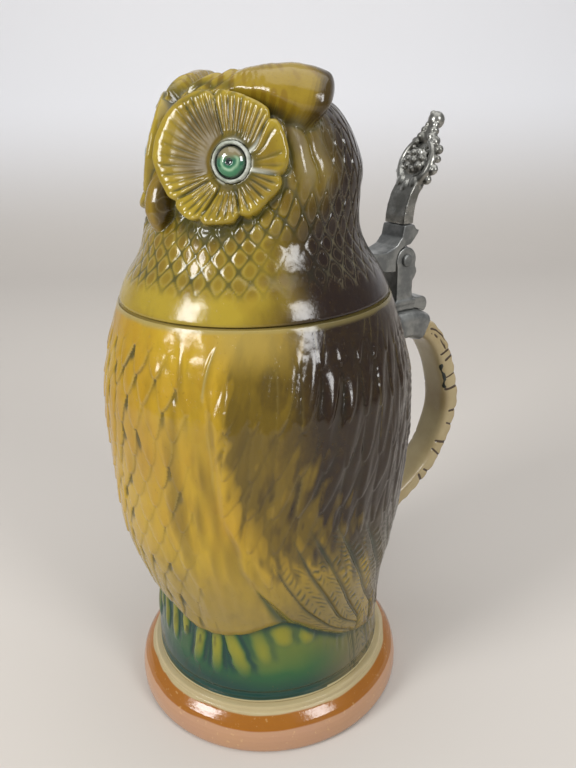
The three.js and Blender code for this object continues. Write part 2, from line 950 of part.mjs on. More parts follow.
// Rounded bar along a line in the middle plane.
function bar(line, halfWidth, halfThickness, squareness, turns) {
  const rings = line.map(([y, z], i) => {
    const [dy, dz] = lineFrame(line, i);
    return Array.from({ length: turns }, (_, j) => {
      const angle = ((j + half) * turn) / turns;
      const c = Math.cos(angle);
      const s = Math.sin(angle);
      const wide = halfWidth * Math.sign(c) * Math.abs(c) ** squareness;
      const thick = halfThickness * Math.sign(s) * Math.abs(s) ** squareness;
      return new THREE.Vector3(wide, y - dz * thick, z + dy * thick);
    });
  });
  const [y0, z0] = line[0];
  const [y1, z1] = line[line.length - 1];
  return skin(new THREE.Vector3(0, y0, z0), rings, new THREE.Vector3(0, y1, z1));
}

const handleTurns = 16;
const handle = bar(
  handleLine,
  handleHalfWidth,
  handleHalfThickness,
  handleSquareness,
  handleTurns,
).subtract(vesselRoom);

// The pewter pieces follow the handle's line and the pivot.
const pivotReach = headBase + pivotOut;
const pivotHeight = seamHeight + pivotRise;

function nearLine(from, to, steps) {
  const reaches = Array.from({ length: steps + 1 }, (_, i) => from + ((to - from) * i) / steps);
  return reaches.map((reach) => [reach, along(handleLine.slice(1, handleLine.length / 2), reach)]);
}

const cuffFit = seat + cuffSlack;
const cuffLine = nearLine(bodyRadius + cuffFront, pivotReach + cuffBack, 6);
const cuffRoomLine = nearLine(bodyRadius, pivotReach + cuffBack + handleHalfWidth, 12);

function aroundHandle(line, gap) {
  return bar(
    line,
    handleHalfWidth + gap,
    handleHalfThickness + gap,
    handleSquareness,
    handleTurns,
  );
}

const cuff = aroundHandle(cuffLine, cuffFit + cuffWall).subtract(aroundHandle(cuffRoomLine, cuffFit));
const cuffRoom = aroundHandle(cuffRoomLine, cuffFit + cuffWall + seat);

const postFront = pivotReach - postHalf;
const postBack = pivotReach + postHalf;
const shoulderHeight = handleTop + shoulderRise;
const bumpReach = pivotReach + bumpOut;
const bumpHeight = pivotHeight - bumpDrop;
const postOutline = [
  [postFront - shoulderOut, handleTop],
  [postBack + shoulderOut, handleTop],
  [postBack + shoulderOut, shoulderHeight - shoulderOut],
  [postBack, shoulderHeight],
  [postBack, bumpHeight - bumpHalfHeight],
  [bumpReach, bumpHeight - softCorner],
  [bumpReach - softCorner, bumpHeight + shoulderOut],
  [pivotReach + lugRadius, pivotHeight],
  [pivotReach, pivotHeight],
  [postFront, pivotHeight],
  [postFront, shoulderHeight],
  [postFront - shoulderOut, shoulderHeight - shoulderOut],
];
const knobReach = pivotReach + knobOut;
const knobHeight = handleTop + knobRise;
const post = joined([
  plank(postOutline, -lugOuter, lugOuter),
  plank(discOutline(pivotReach, pivotHeight, lugRadius), -lugOuter, lugOuter),
  plank(
    [
      [pivotReach, knobHeight - knobRadius],
      [knobReach, knobHeight - knobRadius],
      [knobReach, knobHeight + knobRadius],
      [pivotReach, knobHeight + knobRadius + shoulderOut],
    ],
    -knobHalfWidth,
    knobHalfWidth,
  ),
  plank(discOutline(knobReach, knobHeight, knobRadius), -knobHalfWidth, knobHalfWidth),
])
  .subtract(plank(discOutline(pivotReach, pivotHeight, slotRadius), -lugInner, lugInner))
  .subtract(
    plank(
      [
        [postFront - lugRadius, pivotHeight],
        [bumpReach + lugRadius, pivotHeight],
        [bumpReach + lugRadius, pivotHeight + slotRadius],
        [postFront - lugRadius, pivotHeight + slotRadius],
      ],
      -lugInner,
      lugInner,
    ),
  )
  .subtract(
    plank(
      discOutline(pivotReach, pivotHeight, pinRadius + pinFit),
      -lugOuter - lugInner,
      lugOuter + lugInner,
    ),
  )
  .subtract(cuffRoom);

const pin = joined([
  plank(
    discOutline(pivotReach, pivotHeight, pinRadius),
    -lugOuter - seat - pinHeadLength / 2,
    lugOuter + seat + pinHeadLength / 2,
  ),
  plank(
    discOutline(pivotReach, pivotHeight, pinHeadRadius),
    lugOuter + seat,
    lugOuter + seat + pinHeadLength,
  ),
  plank(
    discOutline(pivotReach, pivotHeight, pinHeadRadius),
    -lugOuter - seat - pinHeadLength,
    -lugOuter - seat,
  ),
]);

// The strap from the head over the pivot: shares of the way from the head's base to the pivot, and
// shares of the strap's rise above the pivot.
const strapShares = [
  [-0.315, 0.007],
  [0.241, -0.088],
  [0.463, -0.245],
  [0.708, -0.265],
  [0.718, -0.007],
  [0.745, 0.19],
  [0.824, 0.347],
  [0.926, 0.429],
  [1.074, 0.449],
  [1.185, 0.605],
  [1.269, 0.748],
  [1.287, 0.83],
  [1.213, 0.878],
  [1.148, 1],
  [0.903, 1],
  [0.843, 0.673],
  [0.704, 0.456],
  [0.472, 0.333],
  [0.194, 0.347],
  [-0.315, 0.51],
];
const strapTop = pivotHeight + strapRise;
const strapOutline = strapShares.map(([out, up]) => [
  headBase + pivotOut * out,
  pivotHeight + strapRise * up,
]);
const anchorTop = tangHeight + anchorRadius;
const anchorRoom = hollowAt(headBase * along(headShares, (anchorTop - headLow) / headTall), anchorTop);
const anchorFrom = Math.sqrt(anchorRoom ** 2 - anchorRadius ** 2) - anchorSlack - anchorThickness;
const rivetFrom = anchorFrom - seat - anchorSlack;
const knuckleHalf = lugInner - slotFit;
const strapBody = plank(strapOutline, -strapHalfWidth, strapHalfWidth)
  .subtract(
    joined([
      plank(
        discOutline(pivotReach, pivotHeight, lugRadius + slotFit),
        lugInner,
        strapHalfWidth + lugInner,
      ),
      plank(
        discOutline(pivotReach, pivotHeight, lugRadius + slotFit),
        -strapHalfWidth - lugInner,
        -lugInner,
      ),
    ]),
  )
  .add(plank(discOutline(pivotReach, pivotHeight, knuckleRadius), -knuckleHalf, knuckleHalf))
  .subtract(skullRoom)
  .add(rod(tangRadius, rivetFrom, headBase + headWall / 2, tangHeight))
  .add(rod(rivetRadius, rivetFrom, anchorFrom - seat, tangHeight));
const strap = strapBody.subtract(
  plank(
    discOutline(pivotReach, pivotHeight, pinRadius + pinFit),
    -strapHalfWidth - lugInner,
    strapHalfWidth + lugInner,
  ),
);

const anchor = rod(anchorRadius, anchorFrom, anchorFrom + anchorThickness, tangHeight).subtract(
  rod(tangRadius + seat, rivetFrom, headBase, tangHeight),
);

// The lift's lumps: side, shares of its reach and height, shares of the half sizes named beside them.
const thumbFoot = strapTop + seat;
const thumbPlace = (outShare, upShare) => [
  pivotReach + thumbReach * outShare,
  thumbFoot + thumbTall * upShare,
];
const leafShares = [
  { out: 0.727, up: 0.676, aside: 0.922, wide: 1, tall: 1.24 },
  { out: 0.489, up: 0.458, aside: 0.974, wide: 0.88, tall: 1 },
  { out: 0.284, up: 0.306, aside: 0.574, wide: 0.88, tall: 1 },
  { out: 0.886, up: 0.853, aside: 0.487, wide: 0.67, tall: 0.71 },
];
const leafDepthShare = 0.7;
const thumblift = joined([
  plank(
    [
      thumbPlace(-0.119, 0),
      thumbPlace(0.182, 0),
      thumbPlace(0.216, 0.19),
      thumbPlace(0.545, 0.418),
      thumbPlace(0.432, 0.519),
      thumbPlace(0.239, 0.418),
      thumbPlace(-0.085, 0.19),
    ],
    -shankHalfWidth,
    shankHalfWidth,
  ),
  lump(
    0,
    ...thumbPlace(0.58, 0.585),
    plateHalfWidth,
    plateHalfHeight,
    plateHalfThickness,
    thumbLean,
    16,
    7,
  ),
  lump(0, ...thumbPlace(0.841, 0.787), collarHalfWidth, collarHalfWidth, plateHalfThickness, thumbLean),
  lump(0, ...thumbPlace(1, 1), budRadius, budRadius + softCorner, budRadius, thumbLean),
  lump(
    0,
    ...thumbPlace(0.455, 0.61),
    rosetteRadius,
    rosetteRadius,
    rosetteHalfDepth,
    thumbLean,
  ),
  ...[-1, 1].flatMap((side) =>
    leafShares.map(({ out, up, aside, wide, tall }) =>
      lump(
        side * plateHalfWidth * aside,
        ...thumbPlace(out, up),
        scrollRadius * wide,
        scrollRadius * tall,
        scrollRadius * leafDepthShare,
        thumbLean,
      ),
    ),
  ),
])
  .subtract(
    plank(
      [
        [headBase, strapTop - thumbTall],
        [headBase + thumbTall, strapTop - thumbTall],
        [headBase + thumbTall, thumbFoot],
        [headBase, thumbFoot],
      ],
      -plateHalfWidth,
      plateHalfWidth,
    ),
  )
  .simplify(coarseSkin);

const glaze = { roughness: 0.2, metalness: 0 };
const pewter = { color: 0x7d7d78, roughness: 0.45, metalness: 0.9 };
const pieces = [
  [vessel, "body_vessel", { color: 0x9a7a20, ...glaze }],
  [footRing, "foot_ring", { color: 0xc98a4a, ...glaze }],
  [handle, "handle", { color: 0xc9b68a, ...glaze }],
  [head, "head_lid", { color: 0x8a6a1c, ...glaze }],
  [eyeBead(1), "eye_left", { color: 0x1f6a4c, roughness: 0.08, metalness: 0 }],
  [eyeBead(-1), "eye_right", { color: 0x1f6a4c, roughness: 0.08, metalness: 0 }],
  [cementRing(1), "eye_setting_left", { color: 0xc9c7b4, roughness: 0.8, metalness: 0 }],
  [cementRing(-1), "eye_setting_right", { color: 0xc9c7b4, roughness: 0.8, metalness: 0 }],
  [cuff, "handle_cuff", pewter],
  [post, "hinge_post", pewter],
  [pin, "hinge_pin", pewter],
  [strap, "lid_strap", pewter],
  [anchor, "strap_anchor", pewter],
  [thumblift, "thumblift", pewter],
];

const stein = new THREE.Group();
stein.name = "owl_stein";
pieces.forEach(([manifold, name, finish]) => stein.add(drawn(manifold, name, finish)));

export default stein;
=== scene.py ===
import math
from types import SimpleNamespace

import bmesh
import bpy
import numpy as np
from mathutils import Matrix, Vector


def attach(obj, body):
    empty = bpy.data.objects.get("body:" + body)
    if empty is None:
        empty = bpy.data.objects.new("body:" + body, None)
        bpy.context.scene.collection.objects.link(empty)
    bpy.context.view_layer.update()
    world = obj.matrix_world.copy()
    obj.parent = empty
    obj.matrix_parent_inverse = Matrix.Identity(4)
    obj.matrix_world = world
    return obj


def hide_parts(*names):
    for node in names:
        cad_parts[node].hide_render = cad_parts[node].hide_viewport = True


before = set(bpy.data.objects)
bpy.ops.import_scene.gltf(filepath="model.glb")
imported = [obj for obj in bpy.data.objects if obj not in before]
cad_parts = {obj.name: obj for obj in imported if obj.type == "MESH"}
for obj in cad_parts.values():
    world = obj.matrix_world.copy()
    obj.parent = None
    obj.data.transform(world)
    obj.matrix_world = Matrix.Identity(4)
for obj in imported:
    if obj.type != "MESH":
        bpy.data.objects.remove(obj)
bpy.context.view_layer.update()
print("owl stein: frame loaded")

mm = 0.001
seamHeight = 175.0
bodyRadius = 61.0
headBase = 50.8


# Easing, smooth outlines, and noise that comes out the same each time.

def ease(value, low, high):
    s = np.clip((value - low) / (high - low), 0.0, 1.0)
    return s * s * (3.0 - 2.0 * s)


def drop(value, low, high):
    return 1 - ease(value, low, high)


def span(value, low, full, late, high):
    # up from low to full, down again from late to high
    return ease(value, low, full) * drop(value, late, high)


def unit(value):
    return np.clip(value, 0, 1)


def bell(value, width):
    return np.exp(-(value / width) ** 2)


def mix(a, b, share):
    return a + (b - a) * share


def softMax(a, b, softness):
    return 0.5 * (a + b + np.sqrt((a - b) ** 2 + softness ** 2))


def softMin(a, b, softness):
    return 0.5 * (a + b - np.sqrt((a - b) ** 2 + softness ** 2))


def hannOf(reach):
    kernel = np.hanning(2 * reach + 3)[1:-1]
    return kernel / kernel.sum()


def smoothOutline(pairs, softness):
    # dense copy of an outline, rounded off so that no corner shows in the glaze
    xs = np.linspace(pairs[0][0], pairs[-1][0], 1200)
    ys = np.interp(xs, [p[0] for p in pairs], [p[1] for p in pairs])
    reach = max(1, int(softness / (xs[1] - xs[0])))
    padded = np.concatenate([2 * ys[0] - ys[reach:0:-1], ys, 2 * ys[-1] - ys[-2:-reach - 2:-1]])
    return xs, np.convolve(padded, hannOf(reach), mode="valid")


def readOutline(outline, x):
    return np.interp(x, outline[0], outline[1])


def readSmooth(pairs, softness, x):
    return readOutline(smoothOutline(pairs, softness), x)


noiseCells = np.random.default_rng(7).random((32, 32, 32))


def cloud(x, y, z, size=1.0, seed=0):
    # soft value noise from -1 to 1 with cells of the given size
    grid = [np.asarray(v, float) / size + seed * 7.31 for v in (x, y, z)]
    low = [np.floor(v).astype(int) for v in grid]
    part = [v - l for v, l in zip(grid, low)]
    part = [p * p * (3 - 2 * p) for p in part]
    total = 0.0
    for i in (0, 1):
        for j in (0, 1):
            for k in (0, 1):
                weight = (part[0] if i else 1 - part[0]) * (part[1] if j else 1 - part[1])
                weight = weight * (part[2] if k else 1 - part[2])
                total = total + weight * noiseCells[(low[0] + i) % 32, (low[1] + j) % 32, (low[2] + k) % 32]
    return total * 2 - 1


def blurGrid(values, rows, columns):
    # blur of a grid whose columns close round the object
    out = np.zeros_like(values)
    for shift, weight in zip(range(-columns, columns + 1), hannOf(columns)):
        out += weight * np.roll(values, shift, axis=1)
    padded = np.pad(out, ((rows, rows), (0, 0)), mode="edge")
    result = np.zeros_like(values)
    for i, weight in enumerate(hannOf(rows)):
        result += weight * padded[i:i + values.shape[0]]
    return result


# Meshes from rows of points, flat outlines and bars.

def newObject(name, mesh):
    made = bpy.data.objects.new(name, mesh)
    bpy.context.scene.collection.objects.link(made)
    return made


def facetObject(name, points, faces):
    mesh = bpy.data.meshes.new(name)
    mesh.from_pydata(points, [], faces)
    mesh.update()
    return newObject(name, mesh)


def skinObject(name, rows, firstTip=None, lastTip=None, fields=None):
    # mesh through rows of points (row, column, xyz) in millimetres that close round the object
    count, turns = rows.shape[:2]
    tips = [t for t in (firstTip, lastTip) if t is not None]
    points = np.vstack([rows.reshape(-1, 3)] + [np.array([t]) for t in tips])
    i, j = np.meshgrid(np.arange(count - 1), np.arange(turns), indexing="ij")
    nextJ = (j + 1) % turns
    quads = np.stack([i * turns + j, i * turns + nextJ, (i + 1) * turns + nextJ, (i + 1) * turns + j], -1)
    quads = quads.reshape(-1, 4)
    ring = np.arange(turns)
    ringNext = (ring + 1) % turns
    tris = np.zeros((0, 3), int)
    extra = count * turns
    if firstTip is not None:
        tris = np.stack([np.full(turns, extra), ringNext, ring], -1)
        extra += 1
    if lastTip is not None:
        base = (count - 1) * turns
        tris = np.vstack([tris, np.stack([base + ring, base + ringNext, np.full(turns, extra)], -1)])
    mesh = bpy.data.meshes.new(name)
    mesh.vertices.add(len(points))
    mesh.vertices.foreach_set("co", (points * mm).astype(np.float32).ravel())
    loops = np.concatenate([quads.ravel(), tris.ravel()]).astype(np.int32)
    mesh.loops.add(len(loops))
    mesh.loops.foreach_set("vertex_index", loops)
    starts = np.concatenate([np.arange(len(quads)) * 4, len(quads) * 4 + np.arange(len(tris)) * 3])
    mesh.polygons.add(len(starts))
    mesh.polygons.foreach_set("loop_start", starts.astype(np.int32))
    mesh.polygons.foreach_set("use_smooth", np.ones(len(starts), bool))
    mesh.update(calc_edges=True)
    mesh.validate()
    for key, values in (fields or {}).items():
        flat = np.concatenate([np.asarray(values, np.float32).ravel(), np.zeros(len(tips), np.float32)])
        mesh.attributes.new(key, "FLOAT", "POINT").data.foreach_set("value", flat)
    return newObject(name, mesh)


def turnedPoints(degrees, reach, height):
    # 0 degrees is the owl's front, 90 its left side
    azimuth = np.radians(degrees)
    return np.stack([reach * np.sin(azimuth), -reach * np.cos(azimuth), height + 0 * azimuth], -1)


def turnedRows(pairs, turns):
    degrees = np.arange(turns) * 360.0 / turns
    return np.stack([turnedPoints(degrees, r + 0 * degrees, z + 0 * degrees) for r, z in pairs])


def alongLine(pairs):
    # distance walked to each point of a line, and a reader that gives the point at a distance
    line = np.array(pairs, float)
    walked = np.concatenate([[0], np.cumsum(np.linalg.norm(np.diff(line, axis=0), axis=1))])
    return walked, lambda at: np.stack([np.interp(at, walked, line[:, k]) for k in range(line.shape[1])], -1)


def smoothPath(points, steps):
    # rounded path through the points, evenly stepped
    p = np.array(points, float)
    ends = np.vstack([2 * p[0] - p[1], p, 2 * p[-1] - p[-2]])
    t = np.linspace(0, 1, 60, endpoint=False)[:, None]
    out = []
    for i in range(len(p) - 1):
        a, b, c, d = ends[i:i + 4]
        bend = (2 * a - 5 * b + 4 * c - d) * t ** 2 + (3 * b - a - 3 * c + d) * t ** 3
        out.append(0.5 * (2 * b + (c - a) * t + bend))
    walked, pointAt = alongLine(np.vstack(out + [p[-1:]]))
    return pointAt(np.linspace(0, walked[-1], steps)), walked[-1]


def squareOval(turns, halfWide, halfThick, offset=0.0):
    # a bar's section: an oval pulled toward a square
    angle = (np.arange(turns) + offset) * 2 * np.pi / turns
    c, s = np.cos(angle), np.sin(angle)
    return halfWide * np.sign(c) * np.abs(c) ** 0.55, halfThick * np.sign(s) * np.abs(s) ** 0.55


def barRows(path, x, t):
    # x runs across the bar, t outward in the (y, z) plane of its path
    ahead = np.gradient(path, axis=0)
    ahead = ahead / np.linalg.norm(ahead, axis=1)[:, None]
    normal = np.stack([-ahead[:, 1], ahead[:, 0]], -1)
    return np.stack([x, path[:, :1] + normal[:, :1] * t, path[:, 1:] + normal[:, 1:] * t], -1)


def facingOut(made, weld=0.0):
    # turn all faces outward once; points closer than weld become one
    box = bmesh.new()
    box.from_mesh(made.data)
    if weld:
        bmesh.ops.remove_doubles(box, verts=box.verts, dist=weld)
    bmesh.ops.recalc_face_normals(box, faces=box.faces)
    box.to_mesh(made.data)
    box.free()
    return made


def roundBar(line, halfWide, halfThick, turns):
    path, _ = smoothPath(line, 60)
    x, t = (np.broadcast_to(v, (len(path), turns)) for v in squareOval(turns, halfWide, halfThick, 0.5))
    return facingOut(skinObject("bar", barRows(path, x, t), (0, *path[0]), (0, *path[-1])))


def roundRod(radius, fromY, toY, height):
    angle = np.arange(40) * 2 * np.pi / 40
    ends = ((fromY, radius - 0.2), (fromY + 0.2, radius), (toY - 0.1, radius), (toY, radius - 0.1))
    rows = [np.stack([r * np.cos(angle), y + 0 * angle, height + r * np.sin(angle)], -1) for y, r in ends]
    return facingOut(skinObject("rod", np.stack(rows), (0, fromY, height), (0, toY, height)))


def plank(name, outline, low, high):
    # flat outline in the (y, z) plane, thick from x = low to x = high
    count = len(outline)
    points = [(x * mm, y * mm, z * mm) for x in (low, high) for y, z in outline]
    ends = [tuple(range(count))[::-1], tuple(range(count, 2 * count))]
    sides = [(i, (i + 1) % count, count + (i + 1) % count, count + i) for i in range(count)]
    return facingOut(facetObject(name, points, ends + sides))


def discOutline(y, z, radius, steps=64):
    angles = np.radians(np.arange(steps) * 360.0 / steps)
    return [(y + radius * math.cos(a), z + radius * math.sin(a)) for a in angles]


def pick(pieces):
    for o in bpy.context.selected_objects:
        o.select_set(False)
    for o in pieces:
        o.select_set(True)
    bpy.context.view_layer.objects.active = pieces[0]


def join(name, parts):
    pick(parts)
    bpy.ops.object.join()
    parts[0].name = name
    return parts[0]


def settle(piece):
    # make the modifiers part of the mesh
    pick([piece])
    for modifier in list(piece.modifiers):
        bpy.ops.object.modifier_apply(modifier=modifier.name)
    return piece


def combine(piece, tool, operation="DIFFERENCE"):
    change = piece.modifiers.new("combine", "BOOLEAN")
    change.operation, change.solver, change.object = operation, "EXACT", tool
    settle(piece)
    bpy.data.objects.remove(tool, do_unlink=True)
    return piece


# Short ways to place and join shader nodes; a value is a number, a tuple or another node's output.

def newMaterial(name):
    material = bpy.data.materials.new(name)
    material.use_nodes = True
    material.node_tree.nodes.clear()
    return material, material.node_tree


def put(tree, kind, **values):
    node = tree.nodes.new(kind)
    for key, value in values.items():
        setattr(node, key, value)
    return node


def fill(tree, socket, value):
    if isinstance(value, bpy.types.NodeSocket):
        tree.links.new(value, socket)
    elif value is not None:
        socket.default_value = value


def feed(tree, node, **sockets):
    # socket names without spaces
    for key, value in sockets.items():
        fill(tree, next(s for s in node.inputs if s.name.replace(" ", "") == key and s.enabled), value)
    return node


def fieldOf(tree, name):
    return put(tree, "ShaderNodeAttribute", attribute_name=name, attribute_type="GEOMETRY").outputs["Fac"]


def objectPlace(tree):
    return put(tree, "ShaderNodeTexCoord").outputs["Object"]


def maths(tree, kind, a, b, c=None, clamp=False):
    node = put(tree, "ShaderNodeMath", operation=kind, use_clamp=clamp)
    for socket, value in zip(node.inputs, (a, b, c)):
        fill(tree, socket, value)
    return node.outputs[0]


def times(tree, a, b, plus=None, clamp=False):
    return maths(tree, "MULTIPLY" if plus is None else "MULTIPLY_ADD", a, b, plus, clamp)


def swayed(tree, base, noise, amount, clamp=True):
    # base raised and lowered by a noise that is 0.5 in the middle
    return times(tree, maths(tree, "SUBTRACT", noise, 0.5), amount, base, clamp)


def blend(tree, share, a, b):
    node = put(tree, "ShaderNodeMix", data_type="RGBA", blend_type="MIX", clamp_factor=True)
    for k, value in ((0, share), (6, a), (7, b)):
        fill(tree, node.inputs[k], value)
    return node.outputs[2]


def layered(tree, colour, *layers):
    # each layer is a share and a colour laid over what is there
    for share, over in layers:
        colour = blend(tree, share, colour, over)
    return colour


def stepUp(tree, value, low, high):
    node = put(tree, "ShaderNodeMapRange", interpolation_type="SMOOTHSTEP", clamp=True)
    feed(tree, node, Value=value, FromMin=low, FromMax=high, ToMin=0.0, ToMax=1.0)
    return node.outputs["Result"]


def speckle(tree, place, scale, detail=3.0, rough=0.6, stretch=None):
    if stretch:
        place = feed(tree, put(tree, "ShaderNodeMapping", vector_type="POINT"), Vector=place,
                     Scale=stretch).outputs["Vector"]
    node = put(tree, "ShaderNodeTexNoise", noise_dimensions="3D")
    return feed(tree, node, Vector=place, Scale=scale, Detail=detail, Roughness=rough).outputs["Fac"]


def bumpOf(tree, height, strength, distance):
    bump = feed(tree, put(tree, "ShaderNodeBump"), Height=height, Strength=strength, Distance=distance)
    return bump.outputs["Normal"]


def shaded(tree, **values):
    shader = feed(tree, put(tree, "ShaderNodeBsdfPrincipled"), **values)
    fill(tree, put(tree, "ShaderNodeOutputMaterial").inputs[0], shader.outputs[0])


def newGroup(name, inputs, outputs):
    # inputs and outputs are socket names by kind
    tree = bpy.data.node_groups.new(name, "ShaderNodeTree")
    for way, sockets in (("INPUT", inputs), ("OUTPUT", outputs)):
        for kind, names in sockets:
            for label in names:
                tree.interface.new_socket(name=label, in_out=way, socket_type="NodeSocket" + kind)
    return tree, tree.nodes.new("NodeGroupInput").outputs, tree.nodes.new("NodeGroupOutput")


def rgb(red, green, blue):
    # colour as it reads on a screen, 0 to 255, turned into linear light
    shares = [v / 255.0 for v in (red, green, blue)]
    return (*(v / 12.92 if v <= 0.04045 else ((v + 0.055) / 1.055) ** 2.4 for v in shares), 1.0)


# The vessel. Outlines pair height in mm with a share of the body's radius, edges pair it with degrees from
# the front, and the hem pairs degrees with height.
vessel = {
    "turns": 900,
    "bodyRows": 330,
    "footRows": 70,
    "low": 18.3,
    "rimDrop": 0.3,
    "rimRadius": 51.0,
    "chest": [(40, 0.79), (50, 0.82), (58, 0.842), (72, 0.915), (86, 0.972), (100, 0.989), (115, 0.99),
              (130, 1.0), (145, 0.986), (160, 0.927), (168, 0.884), (175, 0.836)],
    "wing": [(20, 0.815), (32, 0.809), (44, 0.817), (58, 0.844), (72, 0.902), (86, 0.941), (100, 0.972),
             (115, 0.99), (130, 0.998), (145, 0.988), (160, 0.925), (168, 0.885), (175, 0.836)],
    "foot": [(18, 0.811), (28, 0.798), (38.5, 0.778), (47, 0.764), (60, 0.757)],
    "hem": [(0, 57), (12, 53.7), (20, 49.7), (29, 48.4), (39, 49.4), (48, 50.8), (57, 55), (64, 57.2),
            (70, 55.6), (82, 48.1), (97, 40.6), (108, 36.4), (125, 31.9), (150, 28.9), (180, 28)],
    "wingEdge": [(59, 67), (75, 57.6), (90, 51), (101, 47.6), (119, 44.1), (134, 42.2), (148, 41.4),
                 (158, 42.2), (167, 45), (175, 49.5)],
    "brownEdge": [(28, 128), (55, 105), (72, 94), (89, 82), (118, 67), (154, 60), (175, 62)],
    # the hollow where the wing's tip leaves the belly, and its half width
    "tongue": [(50, 70), (57, 66.5), (62, 63), (68, 59.5), (77, 55.6), (90, 51)],
    "tongueWide": [(55, 3.6), (60, 2.8), (68, 1.5), (78, 0.7), (84, 0.3)],
    "scaleWide": 9.2,
    "scaleTall": 9.0,
    "scaleStep": 1.4,
    "wingStep": 1.5,
    "leafWide": 8.4,
    "leafTall": 17.0,
    "plumeWide": 12.5,
    "plumeTall": 21.0,
    "barbStep": 3.1,
    # degrees round the surface that the wing's feathers lean by, in mm, against height
    "leaning": [(18, -21), (40, -14), (60, -7), (80, -1), (95, 2), (110, 0), (130, -6), (150, -12),
                (175, -19.5)],
    "primaries": [
        [(36, 108), (40, 97), (48, 82), (59, 68), (75, 57.6), (95, 50)],
        [(41, 101), (50, 87), (65, 73), (80, 65), (93.5, 60), (105, 56)],
        [(42, 107), (52, 92), (66, 84), (84, 74), (102, 67), (115, 63)],
        [(47, 104), (60, 95), (82, 84), (105, 73), (120, 69)],
        [(47, 117), (60, 106), (82, 94), (105, 83), (120, 79)],
        [(47, 130), (60, 119), (82, 106), (105, 95), (120, 91)],
    ],
    "primaryTops": [75, 96, 105, 108, 104, 100, 97, 95],
    # middle's degrees and height, half height, half width, lean in degrees a mm down, strength
    "toes": [(4.5, 43, 9, 2.2, 0, 1), (13, 46, 6, 2.2, 0, 0.8), (22, 38, 7.5, 3.0, -0.17, 1),
             (32.5, 38, 9, 2.9, 0, 1), (43.5, 38.5, 9.5, 3.6, 0.4, 1), (55, 42, 7, 3.4, 0.3, 0.5),
             (65, 48, 5, 4.4, 0.3, 0.6), (77, 47, 5, 3.4, 0, 0.55)],
    # worn lip from the rim's radius and height, then radius against height inside and underneath
    "lip": [(-0.25, -0.55), (-1.0, 0), (-2.6, 0.05), (-4.4, -0.1), (-5.3, -0.9), (-5.6, -2.2)],
    "inside": [(46.4, 165), (52.0, 150), (54.4, 130), (53.8, 110), (50.5, 95), (45.5, 78), (41.6, 62),
               (40.5, 50), (40.4, 35), (40.4, 20), (39.6, 15.5), (37.6, 12.6), (34, 11.4), (17, 11.3)],
    "underside": [(14, 5.3), (42.6, 5.3), (43.4, 6.1), (43.4, 18.3), (48.4, 18.3)],
}


def foldedDegrees(degrees):
    # 0 to 180 from the front on either side
    return np.abs((degrees + 180.0) % 360.0 - 180.0)


def ownNumber(value):
    # a number from 0 to 1 that belongs to one scale or rib
    return np.mod(np.sin(value) * 43758.5453, 1.0)


def tiledScales(around, down, wide, pointed, depth):
    # overlapping rows like roof tiles: around and down count in scales, the upper row lies on top;
    # gives swell, place across (-1 to 1), place down, reach past the edges above, and each scale's own number
    found = {"swell": 0.0, "across": 0.0, "down": 0.0, "rim": 9.0, "right": 9.0, "left": 9.0, "own": 0.5}
    found = {key: np.full(around.shape, value) for key, value in found.items()}
    taken = np.zeros(around.shape, bool)
    row = np.floor(down)
    for back in (1, 0, -1):
        r = row - back
        dv = down - r
        shift = 0.5 * np.mod(r, 2)
        near = ~taken
        half = wide * unit(1.0 - unit(dv / depth) ** pointed) ** 0.62
        for side in (0, 1):
            c = np.floor(around - shift) + side + shift
            du = around - c
            here = (np.abs(du) < half) & (dv < depth) & (dv >= -0.2)
            inside = here & ~taken
            share = du / np.maximum(half, 0.05)
            for key, value in (("swell", dv / depth * 0.75 + 0.25 * (1.0 - share ** 2)), ("across", share),
                               ("down", dv), ("rim", (half - np.abs(du)) * (0.25 + 0.75 * dv / depth)),
                               ("own", ownNumber(c * 12.9898 + r * 78.233))):
                found[key] = np.where(inside, value, found[key])
            taken |= inside
            outside = near & ~here & (dv < depth) & (dv > -0.2)
            for key, away in (("right", du - half), ("left", -du - half)):
                found[key] = np.where(outside & (away > 0), np.minimum(found[key], away), found[key])
    return found


def cavityOf(height, rows, columns, strength):
    return unit((blurGrid(height, rows, columns) - height) / strength)


def vesselGrid(v):
    # heights and degrees of the grid's points, and where each lies on the owl
    degrees = np.arange(v["turns"]) * 360.0 / v["turns"]
    left = np.where(np.sin(np.radians(degrees)) >= 0, 1.0, -1.0)
    hem = readSmooth(v["hem"], 5, foldedDegrees(degrees))
    hem = hem + 0.8 * cloud(degrees / 9.0, left * 3, 0 * degrees, seed=2)
    footShare = np.linspace(0, 1, v["footRows"])[:, None]
    bodyShare = np.linspace(0, 1, v["bodyRows"] + 1)[1:, None]
    bodyShare = bodyShare * 0.985 + 0.015 * bodyShare ** 0.5
    g = SimpleNamespace(rim=seamHeight - v["rimDrop"])
    g.z = np.vstack([mix(v["low"], hem[None, :], footShare), mix(hem[None, :], g.rim, bodyShare)])
    g.az, g.side, g.hem = (np.broadcast_to(a, g.z.shape) for a in (degrees, left, hem))
    g.fold = foldedDegrees(g.az)
    chest, wing, foot = (readSmooth(v[k], 6, g.z) for k in ("chest", "wing", "foot"))
    g.full, g.foot = bodyRadius * mix(chest, wing, ease(g.fold, 35, 80)), bodyRadius * foot
    g.arc = np.radians(g.az) * bodyRadius
    g.x, g.y, _ = np.moveaxis(turnedPoints(g.az, g.full, g.z), -1, 0)
    g.above, g.under = g.z - g.hem, seamHeight - g.z
    g.edge = readSmooth(v["wingEdge"], 6, g.z)
    g.past = g.fold - g.edge - 1.6 * cloud(g.z / 11, g.side, 0 * g.z, seed=3)
    g.onWing = ease(g.past, -1.0, 2.6)
    g.warp = 3.0 * cloud(g.x, g.y, g.z, 26, 4)
    return g


